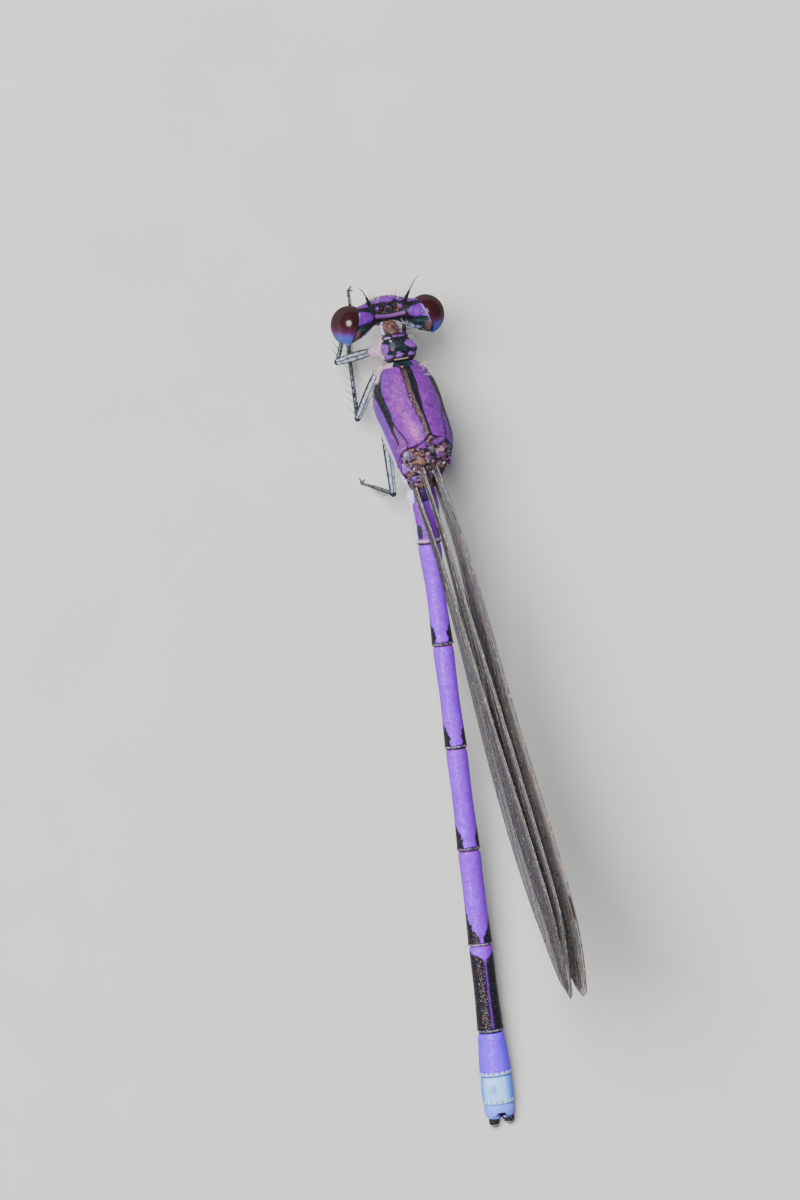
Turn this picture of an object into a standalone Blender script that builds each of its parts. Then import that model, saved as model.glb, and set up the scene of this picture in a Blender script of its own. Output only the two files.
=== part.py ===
"""A male violet dancer damselfly at rest, life size, as a still museum model.

The animal stands on the floor on its six feet and on the underside of its tail tip, with its
wings folded over its back.  The tail points along +Y, the animal's left is +X and the floor is Z = 0.
Sizes are in millimetres while the pieces are made and joined; each finished mesh is then shrunk
to metres.  Pieces that touch in life keep a gap, so that every piece is a solid of its own.
"""

import math

import bmesh
import bpy
from mathutils import Matrix, Vector

# ---------------------------------------------------------------- driving dimensions, in mm

MILLIMETRE = 0.001
GAP = 0.3
AXIS_HEIGHT = 3.3  # from the floor to the body's axis where the abdomen leaves the thorax
HEAD_X = 0.24  # the head is held a little to the animal's left
HEAD_Y = -6.6  # the line through the middles of the two eyes
HEAD_Z = AXIS_HEIGHT - 0.1
NECK_START = -4.9  # the body bends sideways in front of here
NECK_BEND = 0.15

# The abdomen: it slopes down from the thorax and bends a little more towards the tip.
ABDOMEN_SLOPE = 0.088
ABDOMEN_BEND = 0.00172
ABDOMEN_SIDES = 16
# name, length, half width at the front, in the middle and at the back, half depth likewise
ABDOMEN_SEGMENTS = (
    ("abdomen_1_2", 1.95, (0.60, 0.50, 0.47), (0.62, 0.62, 0.52)),
    ("abdomen_3", 3.83, (0.46, 0.35, 0.41), (0.50, 0.37, 0.41)),
    ("abdomen_4", 3.95, (0.41, 0.37, 0.42), (0.41, 0.37, 0.41)),
    ("abdomen_5", 3.94, (0.42, 0.39, 0.44), (0.41, 0.37, 0.42)),
    ("abdomen_6", 3.66, (0.44, 0.43, 0.46), (0.42, 0.39, 0.44)),
    ("abdomen_7", 3.27, (0.46, 0.45, 0.50), (0.44, 0.42, 0.48)),
    ("abdomen_8", 1.70, (0.50, 0.56, 0.61), (0.49, 0.53, 0.56)),
    ("abdomen_9_10", 1.69, (0.61, 0.61, 0.57), (0.56, 0.54, 0.42)),
)

# The four wings stand side by side over the back, costa up, their tips a little higher.
WING_RISE = math.radians(13.6)
WING_MIDDLE = -0.15  # sideways place of the stack's middle at its root
WING_LEAN = 0.038  # sideways drift of the stack for each mm towards the tips
WING_CHORD = 3.9
WING_STATIONS = 24
COSTA_THICKNESS, MEMBRANE_THICKNESS, RIM_THICKNESS = 0.46, 0.30, 0.34
TIP_THINNING = 0.6
# share of the length, share of the chord
WING_OUTLINE = (
    (0.00, 0.13),
    (0.06, 0.15),
    (0.14, 0.21),
    (0.24, 0.42),
    (0.36, 0.66),
    (0.50, 0.86),
    (0.64, 0.98),
    (0.76, 1.00),
    (0.86, 0.91),
    (0.94, 0.68),
    (0.98, 0.42),
    (1.00, 0.18),
)
# Places across the wing, from the costa to the hind margin, where the main veins stand up.
VEINS = (0.0, 0.11, 0.26, 0.43, 0.61, 0.80, 1.0)
STIGMA = (0.84, 0.90)  # the dark cell near the tip, between the first two veins

# Every place is (x, y, z) over the floor; each leg bends at its knee and its toes lie flat.
FOOT_Z = 0.16
LEGS = {
    "leg_fore_left": {
        "root": (0.40, -5.45, 3.00),
        "hip": (0.92, -5.52, 2.50),
        "knee": (1.98, -5.35, 1.50),
        "ankle": (0.76, -7.41, 0.27),
        "toes": ((0.71, -8.05, FOOT_Z), (0.42, -8.12, FOOT_Z)),
    },
    "leg_fore_right": {
        "root": (-0.35, -5.45, 2.90),
        "hip": (-0.56, -5.50, 2.30),
        "knee": (-0.72, -5.30, 1.40),
        "ankle": (-1.32, -6.70, 0.27),
        "toes": ((-1.52, -7.22, FOOT_Z), (-1.40, -7.42, FOOT_Z)),
    },
    "leg_mid_left": {
        "root": (0.35, -4.75, 2.40),
        "hip": (0.62, -4.72, 1.98),
        "knee": (1.46, -3.11, 1.20),
        "ankle": (1.08, -5.95, 0.27),
        "toes": ((0.66, -6.52, FOOT_Z), (0.42, -6.62, FOOT_Z)),
    },
    "leg_mid_right": {
        "root": (-0.35, -4.65, 2.40),
        "hip": (-0.58, -4.62, 1.92),
        "knee": (-1.24, -3.95, 1.45),
        "ankle": (-1.88, -3.30, 0.27),
        "toes": ((-2.02, -3.85, FOOT_Z), (-1.92, -4.08, FOOT_Z)),
    },
    "leg_hind_left": {
        "root": (0.38, -3.95, 1.95),
        "hip": (0.52, -3.72, 1.50),
        "knee": (0.74, -0.05, 1.88),
        "ankle": (0.96, -0.44, 0.27),
        "toes": ((1.42, -0.66, FOOT_Z), (1.30, -0.95, FOOT_Z)),
    },
    "leg_hind_right": {
        "root": (-0.38, -3.95, 1.95),
        "hip": (-0.55, -3.72, 1.50),
        "knee": (-0.86, -0.60, 1.80),
        "ankle": (-1.60, -1.30, 0.27),
        "toes": ((-2.00, -1.62, FOOT_Z), (-1.90, -1.90, FOOT_Z)),
    },
}
COXA_RADIUS, FEMUR_RADIUS, TIBIA_RADIUS, TARSUS_RADIUS, CLAW_RADIUS = 0.36, 0.27, 0.25, 0.22, 0.14
SPUR_LENGTH, SPUR_RADIUS, SPURS = 0.55, 0.07, 4

PALETTE = {
    "violet": ((0.36, 0.16, 0.68), 0.45, 0.0),
    "mauve": ((0.40, 0.20, 0.60), 0.45, 0.0),
    "sky_blue": ((0.38, 0.55, 0.90), 0.45, 0.0),
    "maroon": ((0.10, 0.02, 0.05), 0.12, 0.0),
    "smoke": ((0.16, 0.14, 0.13), 0.25, 0.0),
    "horn": ((0.05, 0.04, 0.06), 0.40, 0.0),
}


# ---------------------------------------------------------------- workshop helpers


def clear_file():
    for obj in list(bpy.data.objects):
        bpy.data.objects.remove(obj, do_unlink=True)


def new_collection(name):
    collection = bpy.data.collections.new(name)
    bpy.context.scene.collection.children.link(collection)
    return collection


def make_material(name):
    colour, roughness, metallic = PALETTE[name]
    material = bpy.data.materials.new(name)
    material.use_nodes = True
    shader = material.node_tree.nodes["Principled BSDF"]
    shader.inputs["Base Color"].default_value = (*colour, 1.0)
    shader.inputs["Roughness"].default_value = roughness
    shader.inputs["Metallic"].default_value = metallic
    return material


def object_from(bm, name, collection):
    """Puts a finished bmesh into a new object, with its faces turned outwards."""
    bmesh.ops.recalc_face_normals(bm, faces=bm.faces)
    mesh = bpy.data.meshes.new(name)
    bm.to_mesh(mesh)
    bm.free()
    obj = bpy.data.objects.new(name, mesh)
    collection.objects.link(obj)
    return obj


def remove(obj):
    data = obj.data
    bpy.data.objects.remove(obj, do_unlink=True)
    if isinstance(data, bpy.types.Mesh):
        bpy.data.meshes.remove(data)


def evaluated_mesh(obj):
    graph = bpy.context.evaluated_depsgraph_get()
    return bpy.data.meshes.new_from_object(obj.evaluated_get(graph))


def interpolate(table, x):
    """Reads a smooth curve through the (x, value) rows of a table."""
    rows = list(table)
    slopes = []
    for i, (x_here, y_here) in enumerate(rows):
        before = rows[max(i - 1, 0)]
        after = rows[min(i + 1, len(rows) - 1)]
        slopes.append((after[1] - before[1]) / (after[0] - before[0]))
    if x <= rows[0][0]:
        return rows[0][1]
    for i in range(len(rows) - 1):
        (x0, y0), (x1, y1) = rows[i], rows[i + 1]
        if x <= x1:
            width = x1 - x0
            t = (x - x0) / width
            start = (2 * t**3 - 3 * t**2 + 1) * y0 + (t**3 - 2 * t**2 + t) * width * slopes[i]
            end = (3 * t**2 - 2 * t**3) * y1 + (t**3 - t**2) * width * slopes[i + 1]
            return start + end
    return rows[-1][1]


# ---------------------------------------------------------------- simple closed shapes


def ellipsoid(centre, radii, collection, segments=20, rings=12):
    bm = bmesh.new()
    bmesh.ops.create_uvsphere(bm, u_segments=segments, v_segments=rings, radius=1.0)
    bmesh.ops.scale(bm, vec=Vector(radii), verts=bm.verts)
    bmesh.ops.translate(bm, vec=Vector(centre), verts=bm.verts)
    return object_from(bm, "ellipsoid", collection)


def box(low, high, collection):
    bm = bmesh.new()
    bmesh.ops.create_cube(bm, size=1.0)
    size = Vector(high) - Vector(low)
    bmesh.ops.scale(bm, vec=size, verts=bm.verts)
    bmesh.ops.translate(bm, vec=(Vector(high) + Vector(low)) / 2, verts=bm.verts)
    return object_from(bm, "box", collection)


def loft(rings, collection):
    """Skins a row of closed rings with equal numbers of points, and caps both ends."""
    bm = bmesh.new()
    rows = [[bm.verts.new(point) for point in ring] for ring in rings]
    count = len(rows[0])
    for near, far in zip(rows, rows[1:]):
        for k in range(count):
            following = (k + 1) % count
            bm.faces.new((near[k], near[following], far[following], far[k]))
    bm.faces.new(rows[0][::-1])
    bm.faces.new(rows[-1])
    return object_from(bm, "loft", collection)


def rounded(angle, squareness):
    """A point on a unit superellipse: 2 is round, less is a ridged roof, more is boxy."""
    c, s = math.cos(angle), math.sin(angle)
    power = 2.0 / squareness
    return math.copysign(abs(c) ** power, c), math.copysign(abs(s) ** power, s)


def rod(points, radii, collection):
    """A tapering tube through a few points: a round-bevelled curve, made a closed mesh."""
    curve = bpy.data.curves.new("rod", "CURVE")
    curve.dimensions = "3D"
    curve.bevel_depth = 1.0
    curve.bevel_resolution = 1
    curve.use_fill_caps = True
    spline = curve.splines.new("POLY")
    spline.points.add(len(points) - 1)
    for slot, place, radius in zip(spline.points, points, radii):
        slot.co = (*place, 1.0)
        slot.radius = radius
    curved = bpy.data.objects.new("rod", curve)
    collection.objects.link(curved)
    mesh = evaluated_mesh(curved)
    bpy.data.objects.remove(curved, do_unlink=True)
    bpy.data.curves.remove(curve)
    bm = bmesh.new()
    bm.from_mesh(mesh)
    bpy.data.meshes.remove(mesh)
    bmesh.ops.remove_doubles(bm, verts=bm.verts, dist=0.0001)
    return object_from(bm, "rod", collection)


# ---------------------------------------------------------------- joining and cutting


def keep_largest_shell(bm):
    """Leaves only the closed surface with the most volume."""
    unseen = set(bm.verts)
    shells = []
    while unseen:
        stack = [unseen.pop()]
        shell = set(stack)
        while stack:
            for edge in stack.pop().link_edges:
                for vert in edge.verts:
                    if vert in unseen:
                        unseen.remove(vert)
                        shell.add(vert)
                        stack.append(vert)
        shells.append(shell)

    def extent(shell):
        spans = [[v.co[axis] for v in shell] for axis in range(3)]
        return math.prod(max(span) - min(span) for span in spans)

    shells.sort(key=extent)
    loose = [vert for shell in shells[:-1] for vert in shell]
    bmesh.ops.delete(bm, geom=loose, context="VERTS")


def settle(obj):
    """Applies the object's modifiers and keeps one closed surface."""
    mesh = evaluated_mesh(obj)
    bm = bmesh.new()
    bm.from_mesh(mesh)
    bpy.data.meshes.remove(mesh)
    keep_largest_shell(bm)
    bmesh.ops.remove_doubles(bm, verts=bm.verts, dist=0.002)
    bmesh.ops.dissolve_degenerate(bm, edges=bm.edges, dist=0.001)
    bmesh.ops.triangulate(bm, faces=bm.faces)
    obj.modifiers.clear()
    bm.to_mesh(obj.data)
    bm.free()
    obj.data.update()


def unite(pieces):
    """One Boolean union of closed pieces; the first piece becomes the result."""
    body, others = pieces[0], pieces[1:]
    group = bpy.data.collections.new("union")
    bpy.context.scene.collection.children.link(group)
    for piece in others:
        group.objects.link(piece)
    join = body.modifiers.new("join", "BOOLEAN")
    join.operation = "UNION"
    join.operand_type = "COLLECTION"
    join.collection = group
    join.solver = "EXACT"
    settle(body)
    for piece in others:
        remove(piece)
    bpy.data.collections.remove(group)
    return body


def cut(body, cutters):
    """Takes each cutter's room out of the body."""
    for cutter in cutters:
        cutter.hide_render = True
        cutter.display_type = "WIRE"
        carve = body.modifiers.new("carve", "BOOLEAN")
        carve.operation = "DIFFERENCE"
        carve.solver = "EXACT"
        carve.object = cutter
        settle(body)
    return body


def finish(obj, name, material, origin, collection):
    """Shrinks a piece to metres and files it under its name."""
    obj.name = name
    obj.data.name = name
    obj.data.transform(Matrix.Scale(MILLIMETRE, 4))
    obj.data.materials.clear()
    obj.data.materials.append(material)
    obj.data.shade_smooth()
    obj.data.set_sharp_from_angle(angle=math.radians(40))
    obj.parent = origin
    if collection not in obj.users_collection:
        collection.objects.link(obj)
    return obj


# ---------------------------------------------------------------- head


def on_head(x, y, z):
    """A place given from the middle of the head, where the line through the eyes crosses it."""
    return Vector((HEAD_X + x, HEAD_Y + y, HEAD_Z + z))


def mirrored(places):
    """Each (x, rest) row on both sides of the middle, from the right to the left."""
    return [(-x, *rest) for x, *rest in reversed(places) if x > 0] + [(x, *rest) for x, *rest in places]


def head_capsule(collection, grow=0.0):
    """The broad, back-curved head between the eyes, skinned from side to side."""
    # half-width place, front, back, top, bottom, all from the eyes' line
    sections = (
        (0.0, -0.85, 0.05, 0.60, -0.75),
        (0.5, -0.83, 0.08, 0.61, -0.72),
        (0.9, -0.72, 0.30, 0.62, -0.68),
        (1.2, -0.63, 0.50, 0.60, -0.64),
        (1.45, -0.56, 0.64, 0.56, -0.58),
    )
    rings = []
    for x, front, back, top, bottom in mirrored(sections):
        middle_y, half_y = (front + back) / 2, (back - front) / 2 + grow
        middle_z, half_z = (top + bottom) / 2, (top - bottom) / 2 + grow
        ring = []
        for k in range(20):
            across, up = rounded(math.tau * k / 20, 2.3)
            ring.append((HEAD_X + x, HEAD_Y + middle_y + half_y * across, HEAD_Z + middle_z + half_z * up))
        rings.append(ring)
    return loft(rings, collection)


def head_lumps(collection, grow=0.0):
    """Brow, upper lip and jaws, which stand out at the front and below."""
    lumps = (
        ((0.0, -0.54, -0.12), (0.80, 0.39, 0.62)),
        ((0.0, -0.58, -0.62), (0.56, 0.34, 0.38)),
        ((0.0, -0.24, -0.80), (0.50, 0.42, 0.30)),
    )
    return [ellipsoid(on_head(*centre), [radius + grow for radius in radii], collection) for centre, radii in lumps]


def side_wedge(side, inner, collection):
    """A block beside the head whose inner face runs along the eye's slanted rim."""
    slant = 0.31  # sideways step of the rim for each mm towards the back
    reach = 2.0
    rings = []
    for z in (-reach, reach):
        corners = [
            (inner - slant * reach, -reach),
            (inner + 3 * reach, -reach),
            (inner + 3 * reach, reach),
            (inner + slant * reach, reach),
        ]
        rings.append([on_head(side * x, y, z) for x, y in corners])
    return loft(rings, collection)


def make_head(collection, cutters):
    ocelli = [
        ellipsoid(on_head(*place), (0.1, 0.1, 0.1), collection, 10, 6)
        for place in ((0.0, -0.56, 0.54), (0.22, -0.34, 0.60), (-0.22, -0.34, 0.60))
    ]
    head = unite([head_capsule(collection), *head_lumps(collection), *ocelli])
    return cut(head, [side_wedge(side, 0.95, cutters) for side in (1, -1)])


def make_eye(side, collection, cutters):
    eye = ellipsoid(on_head(side * 1.53, 0.0, 0.0), (0.71, 0.76, 0.86), collection, 28, 18)
    room = side_wedge(side, 1.25, cutters)
    keep = eye.modifiers.new("rim", "BOOLEAN")
    keep.operation = "INTERSECT"
    keep.solver = "EXACT"
    keep.object = room
    room.hide_render = True
    room.display_type = "WIRE"
    settle(eye)
    return eye


def make_antenna(side, collection, cutters):
    points = ((0.62, -0.50, 0.36), (0.78, -0.82, 0.56), (0.90, -1.04, 0.70), (1.08, -1.28, 0.84), (1.30, -1.50, 0.92))
    radii = (0.25, 0.25, 0.20, 0.13, 0.08)
    places = [on_head(side * x, y, z) for x, y, z in points]
    antenna = rod(places, radii, collection)
    return cut(antenna, [head_capsule(cutters, GAP), *head_lumps(cutters, GAP)])


# ---------------------------------------------------------------- thorax


def neck_bend(y):
    """How far the body's middle is to the left at a place along it."""
    return NECK_BEND * max(0.0, NECK_START - y)


def trunk(sections, collection, grow=0.0, sides=24):
    """Skins (y, axis height, half width, top, bottom, squareness, flare) rows along the body."""
    rings = []
    for index, (y, axis, half_width, top, bottom, squareness, flare) in enumerate(sections):
        if index == 0:
            y -= grow
        if index == len(sections) - 1:
            y += grow
        ring = []
        for k in range(sides):
            across, up = rounded(math.tau * (k + 0.5) / sides, squareness)
            x = neck_bend(y) + (half_width + grow) * across * (1 + flare * up)
            z = axis + up * ((top if up > 0 else bottom) + grow)
            ring.append((x, y, z))
        rings.append(ring)
    return loft(rings, collection)


# The prothorax with the narrow neck in front of it.
PROTHORAX = (
    (-6.26, HEAD_Z, 0.34, 0.32, 0.34, 2.2, 0.0),
    (-6.02, HEAD_Z + 0.02, 0.39, 0.36, 0.40, 2.2, 0.0),
    (-5.95, HEAD_Z + 0.03, 0.52, 0.50, 0.50, 2.2, 0.0),
    (-5.74, HEAD_Z + 0.05, 0.60, 0.60, 0.62, 2.2, 0.0),
    (-5.62, HEAD_Z + 0.05, 0.76, 0.62, 0.68, 2.1, 0.0),
    (-5.38, HEAD_Z + 0.07, 0.84, 0.68, 0.74, 2.1, 0.0),
    (-5.22, HEAD_Z + 0.08, 0.78, 0.62, 0.72, 2.1, 0.0),
    (-5.13, HEAD_Z + 0.08, 0.64, 0.50, 0.60, 2.1, 0.0),
)

# The fused middle and hind thorax: a roof with a ridge in front, wide at the wing bases behind.
THORAX = (
    (-4.83, HEAD_Z + 0.05, 0.62, 0.50, 0.62, 2.0, 0.0),
    (-4.60, HEAD_Z + 0.05, 0.92, 0.86, 1.02, 1.85, -0.10),
    (-4.20, HEAD_Z + 0.05, 1.14, 1.15, 1.36, 1.8, -0.12),
    (-3.60, HEAD_Z + 0.05, 1.26, 1.42, 1.54, 1.8, -0.08),
    (-2.90, HEAD_Z + 0.07, 1.30, 1.68, 1.58, 1.85, 0.0),
    (-2.30, HEAD_Z + 0.09, 1.31, 1.88, 1.50, 1.9, 0.06),
    (-1.90, HEAD_Z + 0.10, 1.28, 1.88, 1.36, 2.1, 0.12),
    (-1.40, HEAD_Z + 0.10, 1.18, 1.64, 1.12, 2.3, 0.20),
    (-0.90, HEAD_Z + 0.10, 1.02, 1.32, 0.92, 2.3, 0.20),
    (-0.40, HEAD_Z + 0.10, 0.80, 0.96, 0.74, 2.2, 0.12),
    (-0.15, HEAD_Z + 0.10, 0.62, 0.66, 0.60, 2.1, 0.0),
)


def back_domes(collection, grow=0.0):
    """The two low domes of the back between the wings."""
    domes = (((0.0, -1.62, 1.52), (0.52, 0.46, 0.34)), ((0.0, -0.86, 1.02), (0.44, 0.40, 0.30)))
    return [
        ellipsoid((x, y, AXIS_HEIGHT + z), [radius + grow for radius in radii], collection, 16, 10)
        for (x, y, z), radii in domes
    ]


# ---------------------------------------------------------------- abdomen


def abdomen_axis(y):
    """Height of the abdomen's axis at a distance behind the thorax."""
    return AXIS_HEIGHT - ABDOMEN_SLOPE * y - ABDOMEN_BEND * y * y


def make_segment(start, length, widths, depths, collection):
    """One ring of the abdomen, a little wider at its ends."""
    first, last = start + GAP / 2, start + length - GAP / 2
    steps = max(4, round(length * 1.6))
    width_table = list(zip((0.0, 0.5, 1.0), widths))
    depth_table = list(zip((0.0, 0.5, 1.0), depths))
    rings = []
    for step in range(steps + 1):
        share = step / steps
        y = first + (last - first) * share
        slope = math.atan(ABDOMEN_SLOPE + 2 * ABDOMEN_BEND * y)
        half_width = interpolate(width_table, share)
        half_depth = interpolate(depth_table, share)
        ring = []
        for k in range(ABDOMEN_SIDES):
            across, up = rounded(math.tau * (k + 0.5) / ABDOMEN_SIDES, 2.15)
            rise = half_depth * up
            place = (half_width * across, y + rise * math.sin(slope), abdomen_axis(y) + rise * math.cos(slope))
            ring.append(place)
        rings.append(ring)
    return loft(rings, collection)


def make_claspers(tail_y, collection):
    """The two short upper claspers and the two lower ones at the end of the tail."""
    height = abdomen_axis(tail_y)
    pieces = []
    for side in (1, -1):
        upper = ((side * 0.26, tail_y - 0.35, height + 0.14), (side * 0.36, tail_y + 0.30, height + 0.12))
        lower = ((side * 0.20, tail_y - 0.35, height - 0.10), (side * 0.22, tail_y + 0.22, height - 0.12))
        pieces.append(rod(upper, (0.22, 0.11), collection))
        pieces.append(rod(lower, (0.20, 0.10), collection))
    return pieces


# ---------------------------------------------------------------- wings


def wing_columns():
    """Places across the wing: each vein, with a hollow strip halfway to the next."""
    columns = []
    for here, following in zip(VEINS, VEINS[1:]):
        columns.append((here, True))
        columns.append(((here + following) / 2, False))
    columns.append((VEINS[-1], True))
    return columns


def wing_thickness(share, across, is_vein):
    """Thick at the costa and the root, thinner towards the hind margin and the tip."""
    crest = COSTA_THICKNESS + (RIM_THICKNESS - COSTA_THICKNESS) * across**1.5
    in_stigma = STIGMA[0] <= share <= STIGMA[1] and across < VEINS[1]
    at_root = share < 0.10
    thickness = crest if is_vein or in_stigma or at_root else crest * MEMBRANE_THICKNESS / COSTA_THICKNESS
    return thickness * (1.0 - (1.0 - TIP_THINNING) * share**2)


def wing_stations():
    """Shares of the length, closer together at both ends, with both edges of the dark cell."""
    waves = [math.cos(math.pi * i / (WING_STATIONS - 1)) for i in range(WING_STATIONS)]
    even = [0.5 - 0.5 * wave * (0.55 + 0.45 * abs(wave)) for wave in waves]
    clear = [share for share in even if all(abs(share - edge) > 0.02 for edge in STIGMA)]
    return sorted([*clear, *STIGMA])


def make_wing(name, side, length, root, offsets, close, collection):
    """A flat wing as a closed sheet whose veins stand up on both faces, split alike on both.

    offsets are the sideways places at the root, past the stalk and at the tip, and close is
    how far the wing leans towards its fellows for each mm below the costa.
    """
    root_y, root_z = root
    along = Vector((0.0, math.cos(WING_RISE), math.sin(WING_RISE)))
    down = Vector((0.0, math.sin(WING_RISE), -math.cos(WING_RISE)))
    offset_table = list(zip((0.0, 0.14, 1.0), offsets))
    columns = wing_columns()
    bm = bmesh.new()
    faces = {1: [], -1: []}
    for share in wing_stations():
        chord = WING_CHORD * interpolate(WING_OUTLINE, share)
        tip_turn = max(0.0, (share - 0.80) / 0.20)
        costa_drop = 0.42 * WING_CHORD * tip_turn**2.6
        middle = Vector((0.0, root_y, AXIS_HEIGHT + root_z)) + along * (length * share)
        drift = WING_MIDDLE - WING_LEAN * length * share + side * interpolate(offset_table, share)
        rows = {1: [], -1: []}
        for across, is_vein in columns:
            depth = costa_drop + across * chord
            half = wing_thickness(share, across, is_vein) / 2
            place = middle + down * depth
            for face in (1, -1):
                x = drift + close * depth + face * half
                rows[face].append(bm.verts.new((x, place.y, place.z)))
        for face in (1, -1):
            faces[face].append(rows[face])
    for face, rows in faces.items():
        for near, far in zip(rows, rows[1:]):
            for k in range(len(columns) - 1):
                bm.faces.new((near[k], far[k], far[k + 1]))
                bm.faces.new((near[k], far[k + 1], near[k + 1]))
    left, right = faces[1], faces[-1]
    for k in (0, len(columns) - 1):
        for i in range(len(left) - 1):
            bm.faces.new((left[i][k], left[i + 1][k], right[i + 1][k]))
            bm.faces.new((left[i][k], right[i + 1][k], right[i][k]))
    for i in (0, len(left) - 1):
        for k in range(len(columns) - 1):
            bm.faces.new((left[i][k], left[i][k + 1], right[i][k + 1]))
            bm.faces.new((left[i][k], right[i][k + 1], right[i][k]))
    return object_from(bm, name, collection)


# name, side, length, (y, height) of the costa at the root, sideways places, lean below the costa
WINGS = (
    ("wing_fore_left", 1, 21.4, (-1.35, 1.72), (0.30, 0.30, 0.44), -0.05),
    ("wing_fore_right", -1, 21.4, (-1.35, 1.72), (0.30, 0.30, 0.44), 0.05),
    ("wing_hind_left", 1, 20.5, (-0.62, 1.05), (0.66, 0.82, 0.84), -0.09),
    ("wing_hind_right", -1, 20.5, (-0.62, 1.05), (0.66, 0.82, 0.84), 0.09),
)


# ---------------------------------------------------------------- legs


def spur(root, tip, collection):
    return rod((root, tip), (SPUR_RADIUS, SPUR_RADIUS * 0.35), collection)


def make_leg(places, collection, cutters):
    """Hip, thigh, shin with its spurs, and a foot that lies flat on the floor."""
    root, hip, knee, ankle = (Vector(places[key]) for key in ("root", "hip", "knee", "ankle"))
    toes = [Vector(toe) for toe in places["toes"]]
    pieces = [
        rod((root, hip), (COXA_RADIUS, FEMUR_RADIUS), collection),
        rod((hip, hip.lerp(knee, 0.4), knee), (FEMUR_RADIUS, FEMUR_RADIUS * 1.05, TIBIA_RADIUS), collection),
        rod((knee, ankle), (TIBIA_RADIUS, TARSUS_RADIUS), collection),
        rod((ankle, *toes), (TARSUS_RADIUS, TARSUS_RADIUS * 0.9, CLAW_RADIUS), collection),
        ellipsoid(hip, [FEMUR_RADIUS * 1.08] * 3, collection, 10, 8),
        ellipsoid(knee, [TIBIA_RADIUS * 1.12] * 3, collection, 10, 8),
        ellipsoid(ankle, [TARSUS_RADIUS * 1.08] * 3, collection, 10, 8),
    ]
    shin = ankle - knee
    outward = shin.cross(knee - hip).normalized()
    inward = shin.cross(outward).normalized()
    for index in range(SPURS):
        share = 0.30 + 0.55 * index / (SPURS - 1)
        start = knee + shin * share
        sideways = outward * (1 if index % 2 else -1)
        lie = (shin.normalized() * 0.75 + sideways * 0.9 - inward * 0.3).normalized()
        tip = start + lie * SPUR_LENGTH
        if tip.z > FOOT_Z:
            pieces.append(spur(start, tip, collection))
    leg = unite(pieces)
    rooms = [trunk(THORAX, cutters, GAP), trunk(PROTHORAX[2:], cutters, GAP), floor_block(cutters)]
    return cut(leg, rooms)


def floor_block(collection):
    return box((-20, -40, -10), (20, 60, 0), collection)


# ---------------------------------------------------------------- the whole animal


def centre_on_floor(origin, parts):
    """Moves the parent so that the whole animal's box is centred over the origin."""
    corners = [vertex.co for part in parts for vertex in part.data.vertices]
    middle = [(max(c[axis] for c in corners) + min(c[axis] for c in corners)) / 2 for axis in (0, 1)]
    lowest = min(c[2] for c in corners)
    origin.location = (-middle[0], -middle[1], -lowest)


def main():
    clear_file()
    animal = new_collection("damselfly")
    bench = new_collection("bench")
    cutters = new_collection("cutters")
    paint = {name: make_material(name) for name in PALETTE}
    origin = bpy.data.objects.new("damselfly_origin", None)
    animal.objects.link(origin)
    parts = []

    def add(obj, name, colour):
        parts.append(finish(obj, name, paint[colour], origin, animal))

    add(make_head(bench, cutters), "head", "mauve")
    for side, word in ((1, "left"), (-1, "right")):
        add(make_eye(side, bench, cutters), f"eye_{word}", "maroon")
        add(make_antenna(side, bench, cutters), f"antenna_{word}", "horn")
    add(trunk(PROTHORAX, bench), "prothorax", "mauve")
    add(unite([trunk(THORAX, bench), *back_domes(bench)]), "thorax", "mauve")

    start = 0.0
    for name, length, widths, depths in ABDOMEN_SEGMENTS:
        segment = make_segment(start, length, widths, depths, bench)
        start += length
        if name == "abdomen_9_10":
            segment = unite([segment, *make_claspers(start, bench)])
            segment = cut(segment, [floor_block(cutters)])
        add(segment, name, "sky_blue" if name == "abdomen_9_10" else "violet")

    for name, side, length, root, offsets, close in WINGS:
        wing = make_wing(name, side, length, root, offsets, close, bench)
        rooms = [trunk(THORAX, cutters, GAP), *back_domes(cutters, GAP)]
        add(cut(wing, rooms), name, "smoke")

    for name, places in LEGS.items():
        add(make_leg(places, bench, cutters), name, "horn")

    for cutter in list(cutters.objects):
        remove(cutter)
    for part in parts:
        bench.objects.unlink(part)
    bpy.data.collections.remove(bench)
    bpy.data.collections.remove(cutters)
    centre_on_floor(origin, parts)


main()
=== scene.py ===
# %% [markdown]
# # A violet dancer damselfly, life size
#
# This notebook dresses the solids of a small damselfly.  The solids give every piece its size and
# place; here each of them is replaced by a finer surface with the colours, seams, veins and hairs
# of the living animal.  Everything is modelled in millimetres in the animal's own axes, with +X to
# its left, +Y towards its tail and the floor at zero, and is shrunk to metres at the very end.

# %% Open the solids
import math
from functools import partial

import bmesh
import bpy
import numpy as np
from mathutils import Matrix, Vector

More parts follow.
